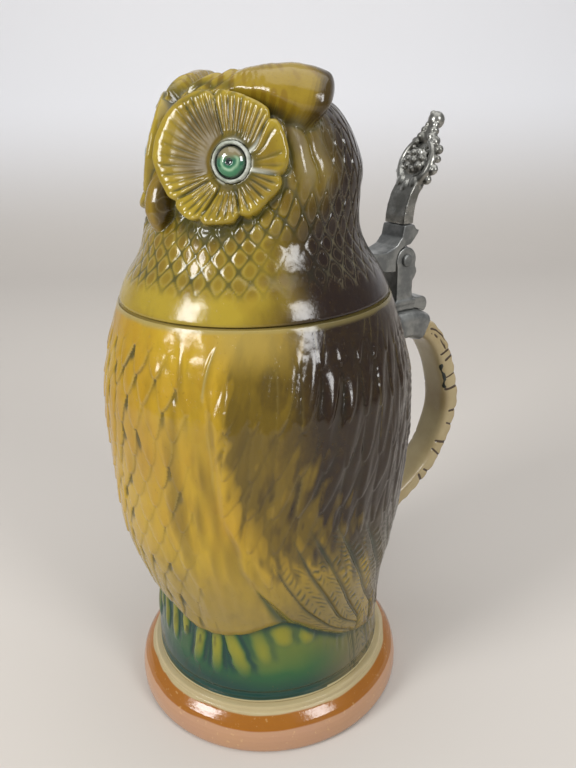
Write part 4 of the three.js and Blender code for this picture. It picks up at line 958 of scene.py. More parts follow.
def headFields(g, h, r, eyeFlat):
    # where each glaze lies, as shares from 0 to 1
    x, y, z, fold, out, cell, onDisc, onBrow, wide = (
        g.x, g.y, g.z, g.fold, g.out, g.cell, g.onDisc, g.onBrow, g.wideBowl)
    offDisc, offBrow, offBeak = 1 - onDisc, 1 - onBrow, 1 - g.beakMask
    height = g.mid + r * np.sin(g.elr)

    # dark glaze in the hollows, between scales and ribs; painted shade round the eyes and under the discs
    cavity = unit(blurGrid(r, 9, 10) - r) * (1 - 0.5 * ease(fold, 88, 120))
    lines = drop(cell, 0.2, 0.56) * g.scaleZone * mix(0.6, 1.0, g.patchy) * offDisc * (1 - g.crownZone)
    lines = lines * mix(1.0, 0.25, ease(fold, 74, 92))
    lines = lines * (1 - g.plumeZone) * drop(onBrow, 0.2, 0.6) * (1 - 0.85 * g.bare)
    ribs = drop(g.ribWave, 0.05, 0.7) * g.ribStrength * 0.85 * onDisc
    # painted shade: darker round each eye's cement ring
    ringAway = eyeFlat - 6.2 + 0.8 * cloud(x, y, z, 3.5, 44)
    eyeShade = onDisc * drop(ringAway, 0.4, mix(4.5, 2.6, wide)) * 0.9
    # painted shade: dark green under the discs' lower edge, between beak, disc and neck
    underDisc = bell(out - 1.16, 0.13) * offDisc * drop(fold, 44, 66) * drop(z, 222, 230)
    pooled = 0.7 * cavity + 0.85 * lines + ribs + 0.8 * g.boundary * onDisc + eyeShade + 0.95 * underDisc
    creases = 0.7 * g.beakCrease + 0.6 * g.browCrease * drop(fold, 50, 78)
    pooled = unit(pooled + 0.85 * g.hollow * ease(z, 196, 203) + creases)
    pooled = pooled + g.crownZone * offBrow * unit(-g.strokes) * 0.6
    browSmooth = onBrow * ease(g.browAt, 0.3, 0.5)
    pooled = unit(pooled * (1 - 0.9 * browSmooth) * (1 - 0.92 * g.beakMask) * ease(height, 178, 183))

    # brown at the back, on the brow's tip, in the bowls and on the beak's sides
    beyond = fold - readSmooth(h["brownEdge"], 3, height)
    blotch = cloud(x, y, z, 9, 28)
    brown = np.maximum.reduce([ease(beyond + 8 * blotch, -16, 16) * offDisc,
                               0.50 * ease(blotch, 0.0, 0.7) * ease(fold, 34, 50) * drop(height, 196, 203),
                               0.26 * g.scaleZone * offDisc, ease(g.browAt, 0.86, 1.02) * onBrow])
    brown = np.where(onBrow > 0.5, ease(g.browAt + 0.05 * blotch, 0.82, 1.0), brown)
    horn = np.maximum(ease(fold, 90, 100) * onBrow * 0.8, 0.6 * ease(g.browAt, 0.88, 1.0))
    deep = np.where(onBrow > 0.5, horn, ease(beyond + 6 * blotch, 2, 26) * offDisc)
    inBowl = onDisc * drop(out, mix(0.4, 0.6, wide), mix(0.8, 0.88, wide))
    bowls = mix(0.55, 0.85, wide) * inBowl + 0.25 * onDisc * ease(cloud(x, y, z, 6, 29), -0.2, 0.6)
    beakDark = g.beakMask * ease(np.radians(fold) * 40, 1.6, 5.2) * drop(height, 214, 221)
    brown = np.maximum.reduce([brown, ease(height, 246.5, 249) * offBrow * 0.75, bowls])
    brown, deep = np.maximum(brown * offBeak, beakDark * 0.95), np.maximum(deep * offBeak, beakDark * 0.6)

    amber = 0.8 * (ease(cell, 0.55, 0.95) * g.scaleZone - 0.4) * offDisc
    amber = unit(0.4 + 0.5 * cloud(x, y, z, 8, 30) + amber) * (1 - 0.8 * onDisc * ease(out, 0.7, 0.9))
    amber = np.maximum.reduce([amber * offBeak, g.beakMask * 0.9, browSmooth * 0.55])

    # chalky spill round the beads and along one petal's edge; pale on plumes and scale rims, and painted
    # reflection as pale lines on the back scales' rims
    spill = 0.7 * bell(eyeFlat - 6.6, 0.45) * ease(cloud(x, y, z, 3, 31), -0.1, 0.4) * onDisc * offBeak
    petalEdge = np.minimum(np.abs(g.turned - 147), np.abs(g.turned - 193)) * np.pi / 180 * g.reach
    streak = bell(petalEdge, 0.5) * onDisc * drop(g.reach, 10, 15)
    streak = streak * ease(fold, 52, 58) * ease(eyeFlat, 6, 6.6)
    paleAndSheen = g.plumeZone * unit(g.plumes) * 0.75 * ease(cloud(x, y, z, 7, 32), -0.6, 0.2) * offDisc
    rims = 0.3 * bell(cell - 0.66, 0.06) * g.scaleZone * offDisc * (1 - g.bare)
    # painted reflection: pale lines on the rims of the scales at the back of the head
    backRimSheen = 0.55 * g.backScales * drop(cell, 0.12, 0.34) * g.scaleZone
    paleAndSheen = unit(np.maximum.reduce([paleAndSheen, rims, backRimSheen]) * offBrow)
    return {"pooled": pooled, "brown": unit(brown), "deepBrown": deep, "amber": amber, "pale": paleAndSheen,
            "chalk": unit(spill + streak * 0.9), "satin": inBowl * wide}


def makeHead():
    h, turns = headShape, headShape["turns"]
    g = headGrid(h)
    r = headReach(g, h)
    points, eyeFlat = withSockets(turnedPoints(g.az, r * np.cos(g.elr), g.mid + r * np.sin(g.elr)), h)
    inner, skirt = turnedRows(h["inside"], turns), turnedRows(h["flange"], turns)
    lower = len(inner) + len(skirt) - 2
    fields = headFields(g, h, r, eyeFlat)
    fields.update({k: 0 * r for k in ("green", "lime", "footDeep", "footBrown", "bare")})
    fields = {k: np.vstack([np.full((lower, turns), 1.0 * (k == "bare")), f[:1], f[:1], f])
              for k, f in fields.items()}
    print("head: top", float(points[..., 2].max()))
    tips = [(0, 0, h["insideTop"]), (0, 0, float(points[-1, :, 2].mean()))]
    return skinObject("headGlazed", np.vstack([inner, skirt, points]), *tips, fields)


# The base moulding: radius against height up its outside, then down its hollow.
ring = {
    "turns": 360,
    "outside": [(30, 0.0), (54.5, 0.0), (56.6, 0.25), (57.7, 1.1), (58.15, 2.4), (58.2, 4.5), (58.05, 6.5),
                (57.6, 8.6), (56.8, 10.6), (55.7, 12.4), (54.5, 13.9), (53.3, 15.1), (52.5, 15.7),
                (52.05, 15.9), (51.85, 16.3), (51.75, 17.2), (51.4, 17.8), (50.7, 18.0)],
    "inside": [(46, 18.0), (44.2, 17.9), (44.2, 5.0), (30, 5.0), (8, 5.0)],
    "bend": 24,
    "creamEdge": 15.2,
    "bandTall": 4.6,
}


def makeRing():
    walked, pointAt = alongLine(ring["outside"])
    outer = pointAt(np.unique(np.concatenate([np.linspace(ring["bend"], walked[-1], 90), walked])))
    turns = ring["turns"]
    az = np.arange(turns) * 360.0 / turns
    wave = 0.14 * cloud(az / 13, 0 * az, 0 * az, seed=41)
    rows = [turnedPoints(az, r + wave * ease(z, 3, 9), z + 0 * az) for r, z in outer]
    rows = np.stack(rows + list(turnedRows(ring["inside"], turns)))
    height = rows[..., 2]
    outside = np.hypot(rows[..., 0], rows[..., 1]) > 45
    edge = ring["creamEdge"] + 0.3 * cloud(az / 10, 0 * az, 0 * az, seed=42)[None, :]
    bandFoot = edge - ring["bandTall"]
    fields = {"cream": ease(height, edge, edge + 0.35) * outside,
              "band": ease(height, bandFoot, bandFoot + 0.4) * outside, "bare": (height < 0.3) * 1.0}
    return skinObject("footRingGlazed", rows, (0, 0, 0), (0, 0, 5.0), fields)


# The handle: its middle line is (y, z) in mm from the vessel's wall round to the lower end.
loop = {
    "line": [(57.3, 144.8), (61, 146), (70, 147.8), (80, 146.6), (91, 139.6), (99.5, 126.5), (104.6, 110),
             (105.2, 98), (101, 85), (94, 74.4), (83.5, 65.5), (71, 58.6), (60, 54), (47.2, 50)],
    "halfWide": 8.0,
    "halfThick": 4.7,
    "steps": 520,
    "turns": 120,
    # brush marks, as shares of the line's length, and the curve that the cut grooves follow
    "dashes": [0.300, 0.326, 0.385, 0.428, 0.505, 0.549, 0.608, 0.646, 0.708, 0.738],
    "groove": [(0.19, 0.6), (0.22, 2.0), (0.25, 2.9), (0.28, 3.4), (0.31, 3.5)],
}
handleTop = loop["line"][1:5]


def makeHandle():
    path, length = smoothPath(loop["line"], loop["steps"])
    shape = (loop["steps"], loop["turns"])
    x, t = (np.broadcast_to(v, shape) for v in squareOval(loop["turns"], loop["halfWide"], loop["halfThick"]))
    share = np.linspace(0, 1, loop["steps"])[:, None]
    sideFace = np.abs(x)
    # t > 0 is the outer side of the loop; the brush marks cross either side face
    notch = np.zeros_like(x)
    for k, at in enumerate(loop["dashes"]):
        slant = at + 0.0012 * (t - 1.0) * math.sin(k * 2.9 + 0.5)
        width = (0.62 + 0.16 * math.sin(k * 2.3)) / length
        reachIn = -2.6 + 1.3 * math.sin(k * 1.7)
        mask = bell(share - slant, width) * span(t, reachIn - 0.8, reachIn + 0.4, 4.0, 4.65)
        notch = np.maximum(notch, mask * ease(sideFace, 5.6, 6.8))
    lineAt = np.interp(share, *zip(*loop["groove"]))
    first = bell(t - lineAt, 0.42) * span(share, 0.19, 0.2, 0.265, 0.28) * ease(sideFace, 6.4, 7.2)
    second = bell(t - lineAt + 2.3, 0.36) * span(share, 0.2, 0.215, 0.285, 0.305) * ease(sideFace, 6.6, 7.4)
    groove = np.maximum(first, second)
    # a loose brush mark on the corner toward the vessel, near the top
    curl = 6.9 + 0.55 * np.sin((share - 0.31) * 110)
    fat = 0.75 + 0.35 * np.sin((share - 0.33) * 160)
    squiggle = bell(sideFace - curl, fat) * span(share, 0.325, 0.34, 0.415, 0.43) * drop(t, -3.4, -2.4)
    # a faint twist of the clay
    twist = 0.25 * cloud(x / 6, t / 6, share * length / 9, seed=51)
    twist = twist + 0.22 * ease(t, 1.5, 4.2) * np.sin(share * length / 6.4 * 2 * np.pi)
    swell = 1 + (twist - (0.3 * notch + 0.6 * groove)) / 7.0
    x, t = x * swell, t * swell
    fields = {
        "mark": unit(np.maximum(notch, np.maximum(groove, squiggle)) * 1.15), "squiggle": squiggle,
        "tone": 0.5 + 0.5 * cloud(x, t * 2, share * length, 16, 52),
        "edgeTone": ease(t, 1.0, 4.0) * 0.5 + 0.3 * bell(np.abs(x) - 7.2, 1.2),
    }
    return skinObject("handleGlazed", barRows(path, x, t), (0, *path[0]), (0, *path[-1]), fields)


# Eyes: a glass bead in a ring of white cement, turned about the eye's own axis.
eye = {
    "swing": 50.2,
    "look": 40.0,
    "lean": 9.0,
    "reach": 36.55,
    "height": 224.0,
    "bead": [(4.75, -0.8), (4.8, 0.2), (4.8, 0.9), (4.62, 1.5), (4.22, 2.1), (3.6, 2.6), (2.8, 3.0),
             (1.9, 3.25), (1.2, 3.3), (0.95, 3.05), (0.6, 2.85), (0.3, 2.8)],
    "beadRadius": 4.8,
    "cement": [(5.1, -1.1), (6.2, -1.1), (6.3, 0.4), (6.15, 1.35), (5.85, 1.85), (5.5, 1.95), (5.2, 1.6),
               (5.1, 0.6)],
}


def eyeFrame(side):
    swing, look = math.radians(eye["swing"]) * side, math.radians(eye["look"]) * side
    lean = math.radians(eye["lean"])
    normal = np.array([math.sin(look) * math.cos(lean), -math.cos(look) * math.cos(lean), math.sin(lean)])
    across = np.array([math.cos(look), math.sin(look), 0])
    middle = np.array([eye["reach"] * math.sin(swing), -eye["reach"] * math.cos(swing), eye["height"]])
    return middle, across, -np.cross(across, normal), normal


def turnedOnEye(side, angle, radius, rise):
    middle, across, up, normal = eyeFrame(side)
    spokes = np.cos(angle)[:, None] * across + np.sin(angle)[:, None] * up
    return middle + radius[..., None] * spokes + rise[..., None] * normal


def makeBead(side):
    walked, pointAt = alongLine(eye["bead"])
    r, rise = pointAt(np.linspace(0, walked[-1], 70)).T[..., None]
    angle = np.arange(96) * 2 * np.pi / 96
    c, s = np.cos(angle), np.sin(angle)
    radial = (r + 0.25 * cloud(c * 2, s * 2, 0 * angle, seed=63)[None, :]) / eye["beadRadius"]
    lifted = s[None, :] * r / eye["beadRadius"]
    swirl = bell(radial - 0.52 - 0.05 * np.cos(angle - 0.6)[None, :], 0.09) * drop(lifted, 0.2, 0.45)
    pupil = drop(radial, 0.17, 0.27) * (rise > 2)
    middle, _, _, normal = eyeFrame(side)
    foot, top = (middle + normal * eye["bead"][k][1] for k in (0, -1))
    return facingOut(skinObject("beadGlass", turnedOnEye(side, angle, r, rise), foot, top,
                                {"pupil": pupil, "swirl": swirl, "lift": lifted, "radial": radial}))


def makeCement(side):
    walked, pointAt = alongLine(eye["cement"] + eye["cement"][:1])
    r, rise = pointAt(np.linspace(0, walked[-1], 41)[:-1]).T[..., None]
    angle = np.arange(140) * 2 * np.pi / 140
    c, s = np.cos(angle), np.sin(angle)
    bumpy = 0.16 * cloud(c * 3, s * 3, 0 * angle, seed=61 + side)
    bumpy = bumpy + 0.1 * cloud(c * 9, s * 9, 0 * angle, seed=62)
    radius = r + bumpy[None, :] * ease(r, 5.3, 6.0)
    rows = turnedOnEye(side, angle, radius, rise + bumpy[None, :] * (rise > 1) * 0.6)
    return facingOut(skinObject("cementRing", np.concatenate([rows, rows[:1]])), 1e-7)


# Pewter: outlines are (y, z) in mm. The post's own is measured sideways from the pivot.
pivotY, pivotZ = 72.396, 176.5
pewter = {
    "cell": 0.36,
    "strapCell": 0.34,
    "soften": 3,
    "cast": 0.045,
    "cuff": [(66.5, 147.3), (70, 147.8), (75.5, 147.7), (80, 146.6), (83.4, 144.9)],
    "cuffBead": [(66.5, 147.3), (67.3, 147.45), (68.1, 147.6)],
    "cuffGap": 0.55,
    "cuffWall": 1.5,
    "beadWall": 1.8,
    "boreGap": 0.45,
    "postHalf": 6.3,
    "postGap": 2.2,
    "lugRadius": 5.5,
    "lugInner": 3.0,
    "slotRadius": 6.9,
    "post": [(-6.2, 148), (5.2, 148), (5.6, 150), (5.7, 157.4), (5.0, 158.8), (4.2, 159.4), (3.9, 163),
             (4.0, 167.4), (5.2, 168.6), (6.2, 170.7), (6.0, 172.2), (5.2, 173.2), (5.3, 176.5), (0, 176.5),
             (-5.0, 176.5), (-5.0, 158.8), (-6.2, 157.4)],
    "knobArm": [(76, 151.3), (83, 151.3), (83, 158.7), (80, 158.9), (77.5, 160.2), (76, 161)],
    "knob": (83.0, 155.0, 3.9),
    "knobHalf": 5.2,
    "step": [(65.9, 157.2), (78.6, 157.2), (78.8, 158.0), (78.3, 158.9), (66.2, 158.9), (65.7, 158.0)],
    "stepHalf": 6.75,
    "slotTop": [(58, 176.5), (86, 176.5), (86, 184), (58, 184)],
    "pinEnd": [(7.6, 1.2), (7.55, 2.0), (7.3, 2.5), (6.95, 2.68), (6.55, 2.7), (6.5, 2.1)],
    "pinTip": 7.45,
    "strap": [(44, 176.6), (56, 175.2), (60.8, 172.9), (66.1, 172.6), (66.3, 176.4), (66.9, 179.3),
              (68.6, 181.6), (70.8, 182.8), (74, 183.1), (76.4, 185.4), (78.2, 187.5), (78.6, 188.7),
              (77, 189.4), (75.7, 191.3), (70.2, 191.3), (69, 186.4), (66, 183.2), (61, 181.4), (55, 181.6),
              (44, 184)],
    "strapHalf": 6.6,
    "lugRoom": 5.95,
    "knuckleRadius": 6.3,
    "knuckleHalf": 2.65,
    # radius against height of the head's skin, cut from the strap where it passes
    "headRoom": [(0.2, 168), (44.6, 168), (44.8, 175.1), (50.9, 175.15), (51.2, 176.2), (50.0, 179),
                 (48.4, 181.5), (46.6, 184.5), (45, 187), (0.2, 188)],
    # radius, from y and to y of the rod into the head and of its riveted end
    "tang": [(2.6, 35.6, 49.0), (4.0, 35.6, 36.8)],
    "tangHeight": 179.3,
}


def castSkin(made, name, cell, amount, seed):
    # one skin with soft corners, and the slight unevenness of cast pewter
    made.name = name
    remesh = made.modifiers.new("skin", "REMESH")
    remesh.mode = "VOXEL"
    remesh.voxel_size = cell * mm
    remesh.use_smooth_shade = True
    soften = made.modifiers.new("soften", "SMOOTH")
    soften.factor, soften.iterations = 0.5, pewter["soften"]
    settle(made)
    mesh = made.data

    def read(items, key, wide, kind=np.float32):
        values = np.empty(len(items) * wide, kind)
        items.foreach_get(key, values)
        return values.reshape(-1, wide)
    co, normal = read(mesh.vertices, "co", 3) / mm, read(mesh.vertices, "normal", 3)
    edges = read(mesh.edges, "vertices", 2, np.int32)
    bumps = cloud(*co.T, 1.8, seed) + 0.6 * cloud(*co.T, 0.8, seed + 1)

    def neighbourMean(values):
        total, number = np.zeros(values.shape), np.zeros(len(co))
        for a, b in ((0, 1), (1, 0)):
            np.add.at(total, edges[:, a], values[edges[:, b]])
            np.add.at(number, edges[:, a], 1)
        return total / np.maximum(number, 1).reshape(-1, *[1] * (values.ndim - 1))
    hollow = ((neighbourMean(co) - co) * normal).sum(-1) / cell
    for _ in range(5):
        hollow = 0.4 * hollow + 0.6 * neighbourMean(hollow)
    co = co + normal * (amount * bumps)[:, None]
    mesh.vertices.foreach_set("co", (co * mm).astype(np.float32).ravel())
    layer = mesh.attributes.new("hollow", "FLOAT", "POINT")
    layer.data.foreach_set("value", np.clip(hollow * 5.0, -1, 1).astype(np.float32))
    mesh.update()
    return made


def handleBore(gap, turns):
    return roundBar(handleTop, loop["halfWide"] + gap, loop["halfThick"] + gap, turns)


def makeCuff():
    def band(line, wall):
        return roundBar(line, loop["halfWide"] + pewter["cuffGap"] + wall,
                        loop["halfThick"] + pewter["cuffGap"] + wall, 96)
    made, bead = band(pewter["cuff"], pewter["cuffWall"]), band(pewter["cuffBead"], pewter["beadWall"])
    made = combine(made, bead, "UNION")
    made = combine(made, handleBore(pewter["boreGap"], 96))
    return castSkin(made, "cuffPewter", pewter["cell"], pewter["cast"], 71)


def makePost():
    half, knobHalf, stepHalf, inner = (pewter[k] for k in ("postHalf", "knobHalf", "stepHalf", "lugInner"))
    knobY, knobZ, knobRadius = pewter["knob"]
    body = plank("post", [(pivotY + y, z) for y, z in pewter["post"]], -half, half)
    for extra in (
        plank("lug", discOutline(pivotY, pivotZ, pewter["lugRadius"]), -half, half),
        plank("knobArm", pewter["knobArm"], -knobHalf, knobHalf),
        plank("knob", discOutline(knobY, knobZ, knobRadius, 48), -knobHalf, knobHalf),
        plank("step", pewter["step"], -stepHalf, stepHalf),
    ):
        body = combine(body, extra, "UNION")
    body = combine(body, plank("slot", discOutline(pivotY, pivotZ, pewter["slotRadius"]), -inner, inner))
    body = combine(body, plank("slotTop", pewter["slotTop"], -inner, inner))
    body = combine(body, handleBore(pewter["postGap"], 64))
    return castSkin(body, "postPewter", pewter["cell"], pewter["cast"], 72)


def makePin():
    angle = np.arange(48) * 2 * np.pi / 48
    ends = pewter["pinEnd"]
    rows = [np.stack([x + 0 * angle, pivotY + r * np.cos(angle), pivotZ + r * np.sin(angle)], -1)
            for x, r in [(-x, r) for x, r in ends] + ends[::-1]]
    tips = [(x, pivotY, pivotZ) for x in (-pewter["pinTip"], pewter["pinTip"])]
    return facingOut(skinObject("pinPewter", np.stack(rows), *tips))


def makeStrap():
    body = plank("strap", pewter["strap"], -pewter["strapHalf"], pewter["strapHalf"])
    inner, outer = pewter["lugInner"], pewter["lugInner"] + pewter["strapHalf"]
    for low, high in ((inner, outer), (-outer, -inner)):
        body = combine(body, plank("lugRoom", discOutline(pivotY, pivotZ, pewter["lugRoom"]), low, high))
    knuckle = discOutline(pivotY, pivotZ, pewter["knuckleRadius"])
    body = combine(body, plank("knuckle", knuckle, -pewter["knuckleHalf"], pewter["knuckleHalf"]), "UNION")
    room = pewter["headRoom"]
    tips = [(0, 0, room[k][1]) for k in (0, -1)]
    body = combine(body, facingOut(skinObject("headRoom", turnedRows(room, 96), *tips)))
    made = castSkin(body, "strapPewter", pewter["strapCell"], pewter["cast"], 74)
    return join("strapPewter", [made] + [roundRod(*rod, pewter["tangHeight"]) for rod in pewter["tang"]])


# The lift's ornament, from the plate's middle: aside, up the plate, out of it, half sizes across, up and out.
lift = {
    "lean": 27.0,
    "plate": (82.6, 214.6),
    "ovals": [
        (0, 0, 0.3, 8.8, 10.2, 2.0), (0, -9.5, -0.6, 5.6, 4.6, 2.2), (0, 12.4, 0.3, 3.4, 4.0, 2.3),
        (0, 0.6, -2.0, 5.9, 5.9, 1.2), (0, 0.6, -3.6, 1.7, 1.7, 1.3), (0, 15.6, 0.4, 2.2, 2.6, 2.2),
        (0, 19.4, 0.6, 3.5, 3.7, 3.5), (-0.9, 21.2, -0.8, 1.3, 1.5, 2.2), (0, 22.3, 0.8, 1.3, 0.8, 1.3),
        (-3.9, -8.6, -2.0, 2.2, 3.0, 1.6), (3.9, -8.6, -2.0, 2.2, 3.0, 1.6), (0, -10.6, -2.3, 1.9, 3.2, 1.5),
        (-2.0, -12.4, -1.2, 1.5, 1.9, 1.4), (2.4, -12.0, -1.2, 1.5, 1.9, 1.4),
    ],
    # collar under the bud: aside, up, size
    "lumps": [(2.9, 11.4, 2.3), (2.5, 14.4, 1.9), (1.9, 16.8, 1.5), (5.2, 9.4, 2.0)],
    "ovalRows": 14,
    "ovalTurns": 20,
    "shank": [(70.3, 191.6), (75.6, 191.6), (75.9, 195), (76.6, 199), (78.2, 203.2), (81.6, 207.4),
              (83, 210.5), (79.6, 212.5), (76.2, 208), (73.2, 203.6), (71.4, 199), (70.5, 195)],
    "shankHalf": 5.9,
    "below": [(60, 180), (100, 180), (100, 191.5), (60, 191.5)],
    "cell": 0.3,
    "cast": 0.03,
}


def liftOvals():
    ovals = list(lift["ovals"])
    for aside, up, size in lift["lumps"]:
        for s in (1, -1):
            ovals.append((s * aside, up, -0.5, size, size * 0.95, size * 1.15))
    for k in range(7):                          # rosette petals
        a = k * 2 * math.pi / 7 + 0.3
        ovals.append((3.7 * math.cos(a), 0.6 + 3.7 * math.sin(a), -3.0, 1.6, 1.6, 1.3))
    for s in (1, -1):                           # a scroll down either side, and leaves outside it
        for k in range(30):
            a = math.radians(62 - 128 * k / 29)
            size = 1.25 + 0.75 * (k / 29)
            ovals.append((s * 8.1 * math.cos(a), 0.4 + 9.6 * math.sin(a), -1.9 + 0.9 * k / 29,
                          size, size, size * 0.95))
        for k in range(6):
            a = math.radians(58 - 124 * k / 5 + 5 * s)
            wide = 2.0 + 0.5 * math.sin(k * 2.1 + s)
            ovals.append((s * 9.7 * math.cos(a), 0.4 + 10.8 * math.sin(a), 0.3 + 0.5 * math.sin(k * 1.7),
                          wide, wide, 1.8))
            ovals.append((s * 6.9 * math.cos(a), 0.4 + 7.7 * math.sin(a), -1.5, 0.9, 0.9, 0.9))
    return ovals


def makeLift():
    lean = math.radians(lift["lean"])
    upAxis = np.array([0, math.sin(lean), math.cos(lean)])
    outAxis = np.array([0, math.cos(lean), -math.sin(lean)])
    rows, turns = lift["ovalRows"], lift["ovalTurns"]
    el = (np.arange(1, rows) / rows - 0.5) * np.pi
    e, a = np.meshgrid(el, np.arange(turns) * 2 * np.pi / turns, indexing="ij")
    last, tips = (rows - 2) * turns, (rows - 1) * turns
    quads = [(i * turns + j, i * turns + (j + 1) % turns, (i + 1) * turns + (j + 1) % turns,
              (i + 1) * turns + j) for i in range(rows - 2) for j in range(turns)]
    caps = []
    for j in range(turns):
        k = (j + 1) % turns
        caps += [(tips, k, j), (tips + 1, last + j, last + k)]
    verts, faces = [], []
    for aside, up, out, halfAcross, halfUp, halfOut in liftOvals():
        local = np.stack([aside + halfAcross * np.cos(e) * np.cos(a), up + halfUp * np.sin(e),
                          out + halfOut * np.cos(e) * np.sin(a)], -1).reshape(-1, 3)
        local = np.vstack([local, [[aside, up - halfUp, out], [aside, up + halfUp, out]]])
        start = len(verts) * len(local)
        verts.append(np.array([0, *lift["plate"]]) + local[:, :1] * np.array([1, 0, 0])
                     + local[:, 1:2] * upAxis + local[:, 2:] * outAxis)
        faces += [tuple(start + v for v in face) for face in quads + caps]
    ornament = facingOut(facetObject("lift", (np.vstack(verts) * mm).tolist(), faces))
    shank = plank("shank", lift["shank"], -lift["shankHalf"], lift["shankHalf"])
    made = castSkin(join("lift", [ornament, shank]), "liftPewter", lift["cell"], lift["cast"], 76)
    return combine(made, plank("below", lift["below"], -20, 20))


# Glaze colours, as they read on a screen.
glaze = {
    "Olive": rgb(96, 77, 16),
    "Dark": rgb(32, 17, 8),
    "Pool": rgb(38, 50, 32),
    "Leaf": rgb(38, 88, 46),
    "Lime": rgb(132, 128, 34),
    "DeepGreen": rgb(12, 56, 48),
    "FootBrown": rgb(112, 98, 62),
    "Bare": rgb(186, 172, 130),
}
bodyColours = {"Yellow": rgb(179, 147, 33), "Amber": rgb(166, 128, 26), "Pale": rgb(152, 138, 84)}
headColours = {"Yellow": rgb(158, 136, 40), "Amber": rgb(128, 102, 28), "Pale": rgb(140, 128, 100)}
# shares of each glaze, as sockets of the group and as fields of the mesh
glazeFields = {
    "Pooled": "pooled", "Brown": "brown", "DeepBrown": "deepBrown", "AmberShare": "amber",
    "PaleShare": "pale", "Green": "green", "LimeShare": "lime", "FootDeep": "footDeep",
    "FootBrownShare": "footBrown", "BareShare": "bare",
}


def makeGlazeGroup():
    tree, i, leave = newGroup("pooled glaze", [("Vector", ["Place"]), ("Color", [*bodyColours, *glaze]),
                                               ("Float", glazeFields)],
                              [("Color", ["Colour"]), ("Float", ["Rough", "Height"])])
    place = i["Place"]
    broad = speckle(tree, place, 60, 3, 0.6)
    fine = speckle(tree, place, 420, 4, 0.65)
    streak = speckle(tree, place, 150, 3, 0.55, (1, 1, 0.28))
    tired = times(tree, stepUp(tree, streak, 0.50, 0.78), 0.30)
    brownShare = times(tree, swayed(tree, i["Brown"], streak, 0.55), stepUp(tree, i["Brown"], 0.0, 0.16))
    darkShare = times(tree, swayed(tree, i["DeepBrown"], fine, 0.35), stepUp(tree, i["DeepBrown"], 0.0, 0.2))
    foot = layered(tree, i["Leaf"], (i["LimeShare"], i["Lime"]), (i["FootDeep"], i["DeepGreen"]),
                   (times(tree, i["FootBrownShare"], 0.9), i["FootBrown"]))
    # the pool share holds pooled glaze and painted shade alike
    poolAndShadeShare = times(tree, i["Pooled"], times(tree, broad, 0.7, 0.5), clamp=True)
    freckle = times(tree, stepUp(tree, speckle(tree, place, 900, 2, 0.5), 0.66, 0.76), 0.25)
    colour = layered(tree, i["Yellow"], (swayed(tree, i["AmberShare"], broad, 0.9), i["Amber"]),
                     (tired, i["Olive"]), (brownShare, i["Olive"]), (darkShare, i["Dark"]),
                     (times(tree, i["PaleShare"], 0.85), i["Pale"]), (i["Green"], foot),
                     (times(tree, poolAndShadeShare, 0.86), i["Pool"]), (freckle, i["Olive"]),
                     (i["BareShare"], i["Bare"]))
    rough = times(tree, i["BareShare"], 0.45, times(tree, fine, 0.10, 0.09), clamp=True)
    height = times(tree, fine, 0.35, times(tree, broad, 0.8))
    pits = stepUp(tree, speckle(tree, place, 1300, 1, 0.4), 0.70, 0.78)
    feed(tree, leave, Colour=colour, Rough=rough,
         Height=maths(tree, "SUBTRACT", height, times(tree, pits, 0.3)))
    return tree


def glazedMaterial(name, group, colours, chalky=False):
    material, tree = newMaterial(name)
    node = put(tree, "ShaderNodeGroup", node_tree=group)
    fields = {socket: fieldOf(tree, field) for socket, field in glazeFields.items()}
    feed(tree, node, Place=objectPlace(tree), **glaze, **colours, **fields)
    colour, rough = node.outputs["Colour"], node.outputs["Rough"]
    if chalky:
        colour = blend(tree, fieldOf(tree, "chalk"), colour, rgb(205, 206, 192))
        rough = times(tree, fieldOf(tree, "satin"), 0.32, rough, clamp=True)
    shaded(tree, BaseColor=colour, Roughness=rough, Normal=bumpOf(tree, node.outputs["Height"], 0.35, 0.0005),
           IOR=1.52)
    return material


def lustreMaterial():
    material, tree = newMaterial("lustreGlaze")
    place = objectPlace(tree)
    cream, band, bare = (fieldOf(tree, f) for f in ("cream", "band", "bare"))
    drift = speckle(tree, place, 45, 3, 0.6)
    specks = stepUp(tree, speckle(tree, place, 520, 2, 0.6), 0.64, 0.72)
    pink = blend(tree, drift, rgb(180, 138, 96), rgb(170, 128, 104))
    orange = blend(tree, drift, rgb(160, 100, 18), rgb(138, 82, 18))
    ivory = blend(tree, drift, rgb(184, 170, 130), rgb(166, 148, 108))
    colour = layered(tree, pink, (band, orange), (times(tree, specks, 0.22), rgb(226, 190, 130)),
                     (cream, ivory), (bare, rgb(190, 172, 140)))
    rough = times(tree, bare, 0.5, times(tree, drift, 0.10, 0.10), clamp=True)
    normal = bumpOf(tree, speckle(tree, place, 480, 3, 0.6), 0.22, 0.0004)
    shaded(tree, BaseColor=colour, Roughness=rough, Normal=normal, IOR=1.6,
           SheenWeight=0.12, SheenRoughness=0.3, SheenTint=rgb(240, 190, 190))
    return material


def creamMaterial():
    material, tree = newMaterial("creamGlaze")
    place = objectPlace(tree)
    mark, squiggle, tone, edge = (fieldOf(tree, f) for f in ("mark", "squiggle", "tone", "edgeTone"))
    drift = speckle(tree, place, 70, 4, 0.6)
    ink = blend(tree, stepUp(tree, squiggle, 0.2, 0.6), rgb(66, 50, 34), rgb(38, 46, 42))
    ragged = swayed(tree, mark, speckle(tree, place, 700, 3, 0.6), 0.7)
    colour = layered(tree, rgb(182, 168, 130), (swayed(tree, tone, drift, 1.1), rgb(150, 130, 90)),
                     (times(tree, edge, 0.45), rgb(146, 120, 76)), (stepUp(tree, ragged, 0.30, 0.72), ink))
    normal = bumpOf(tree, speckle(tree, place, 380, 3, 0.6), 0.2, 0.0004)
    shaded(tree, BaseColor=colour, Roughness=times(tree, drift, 0.12, 0.18), Normal=normal, IOR=1.5)
    return material


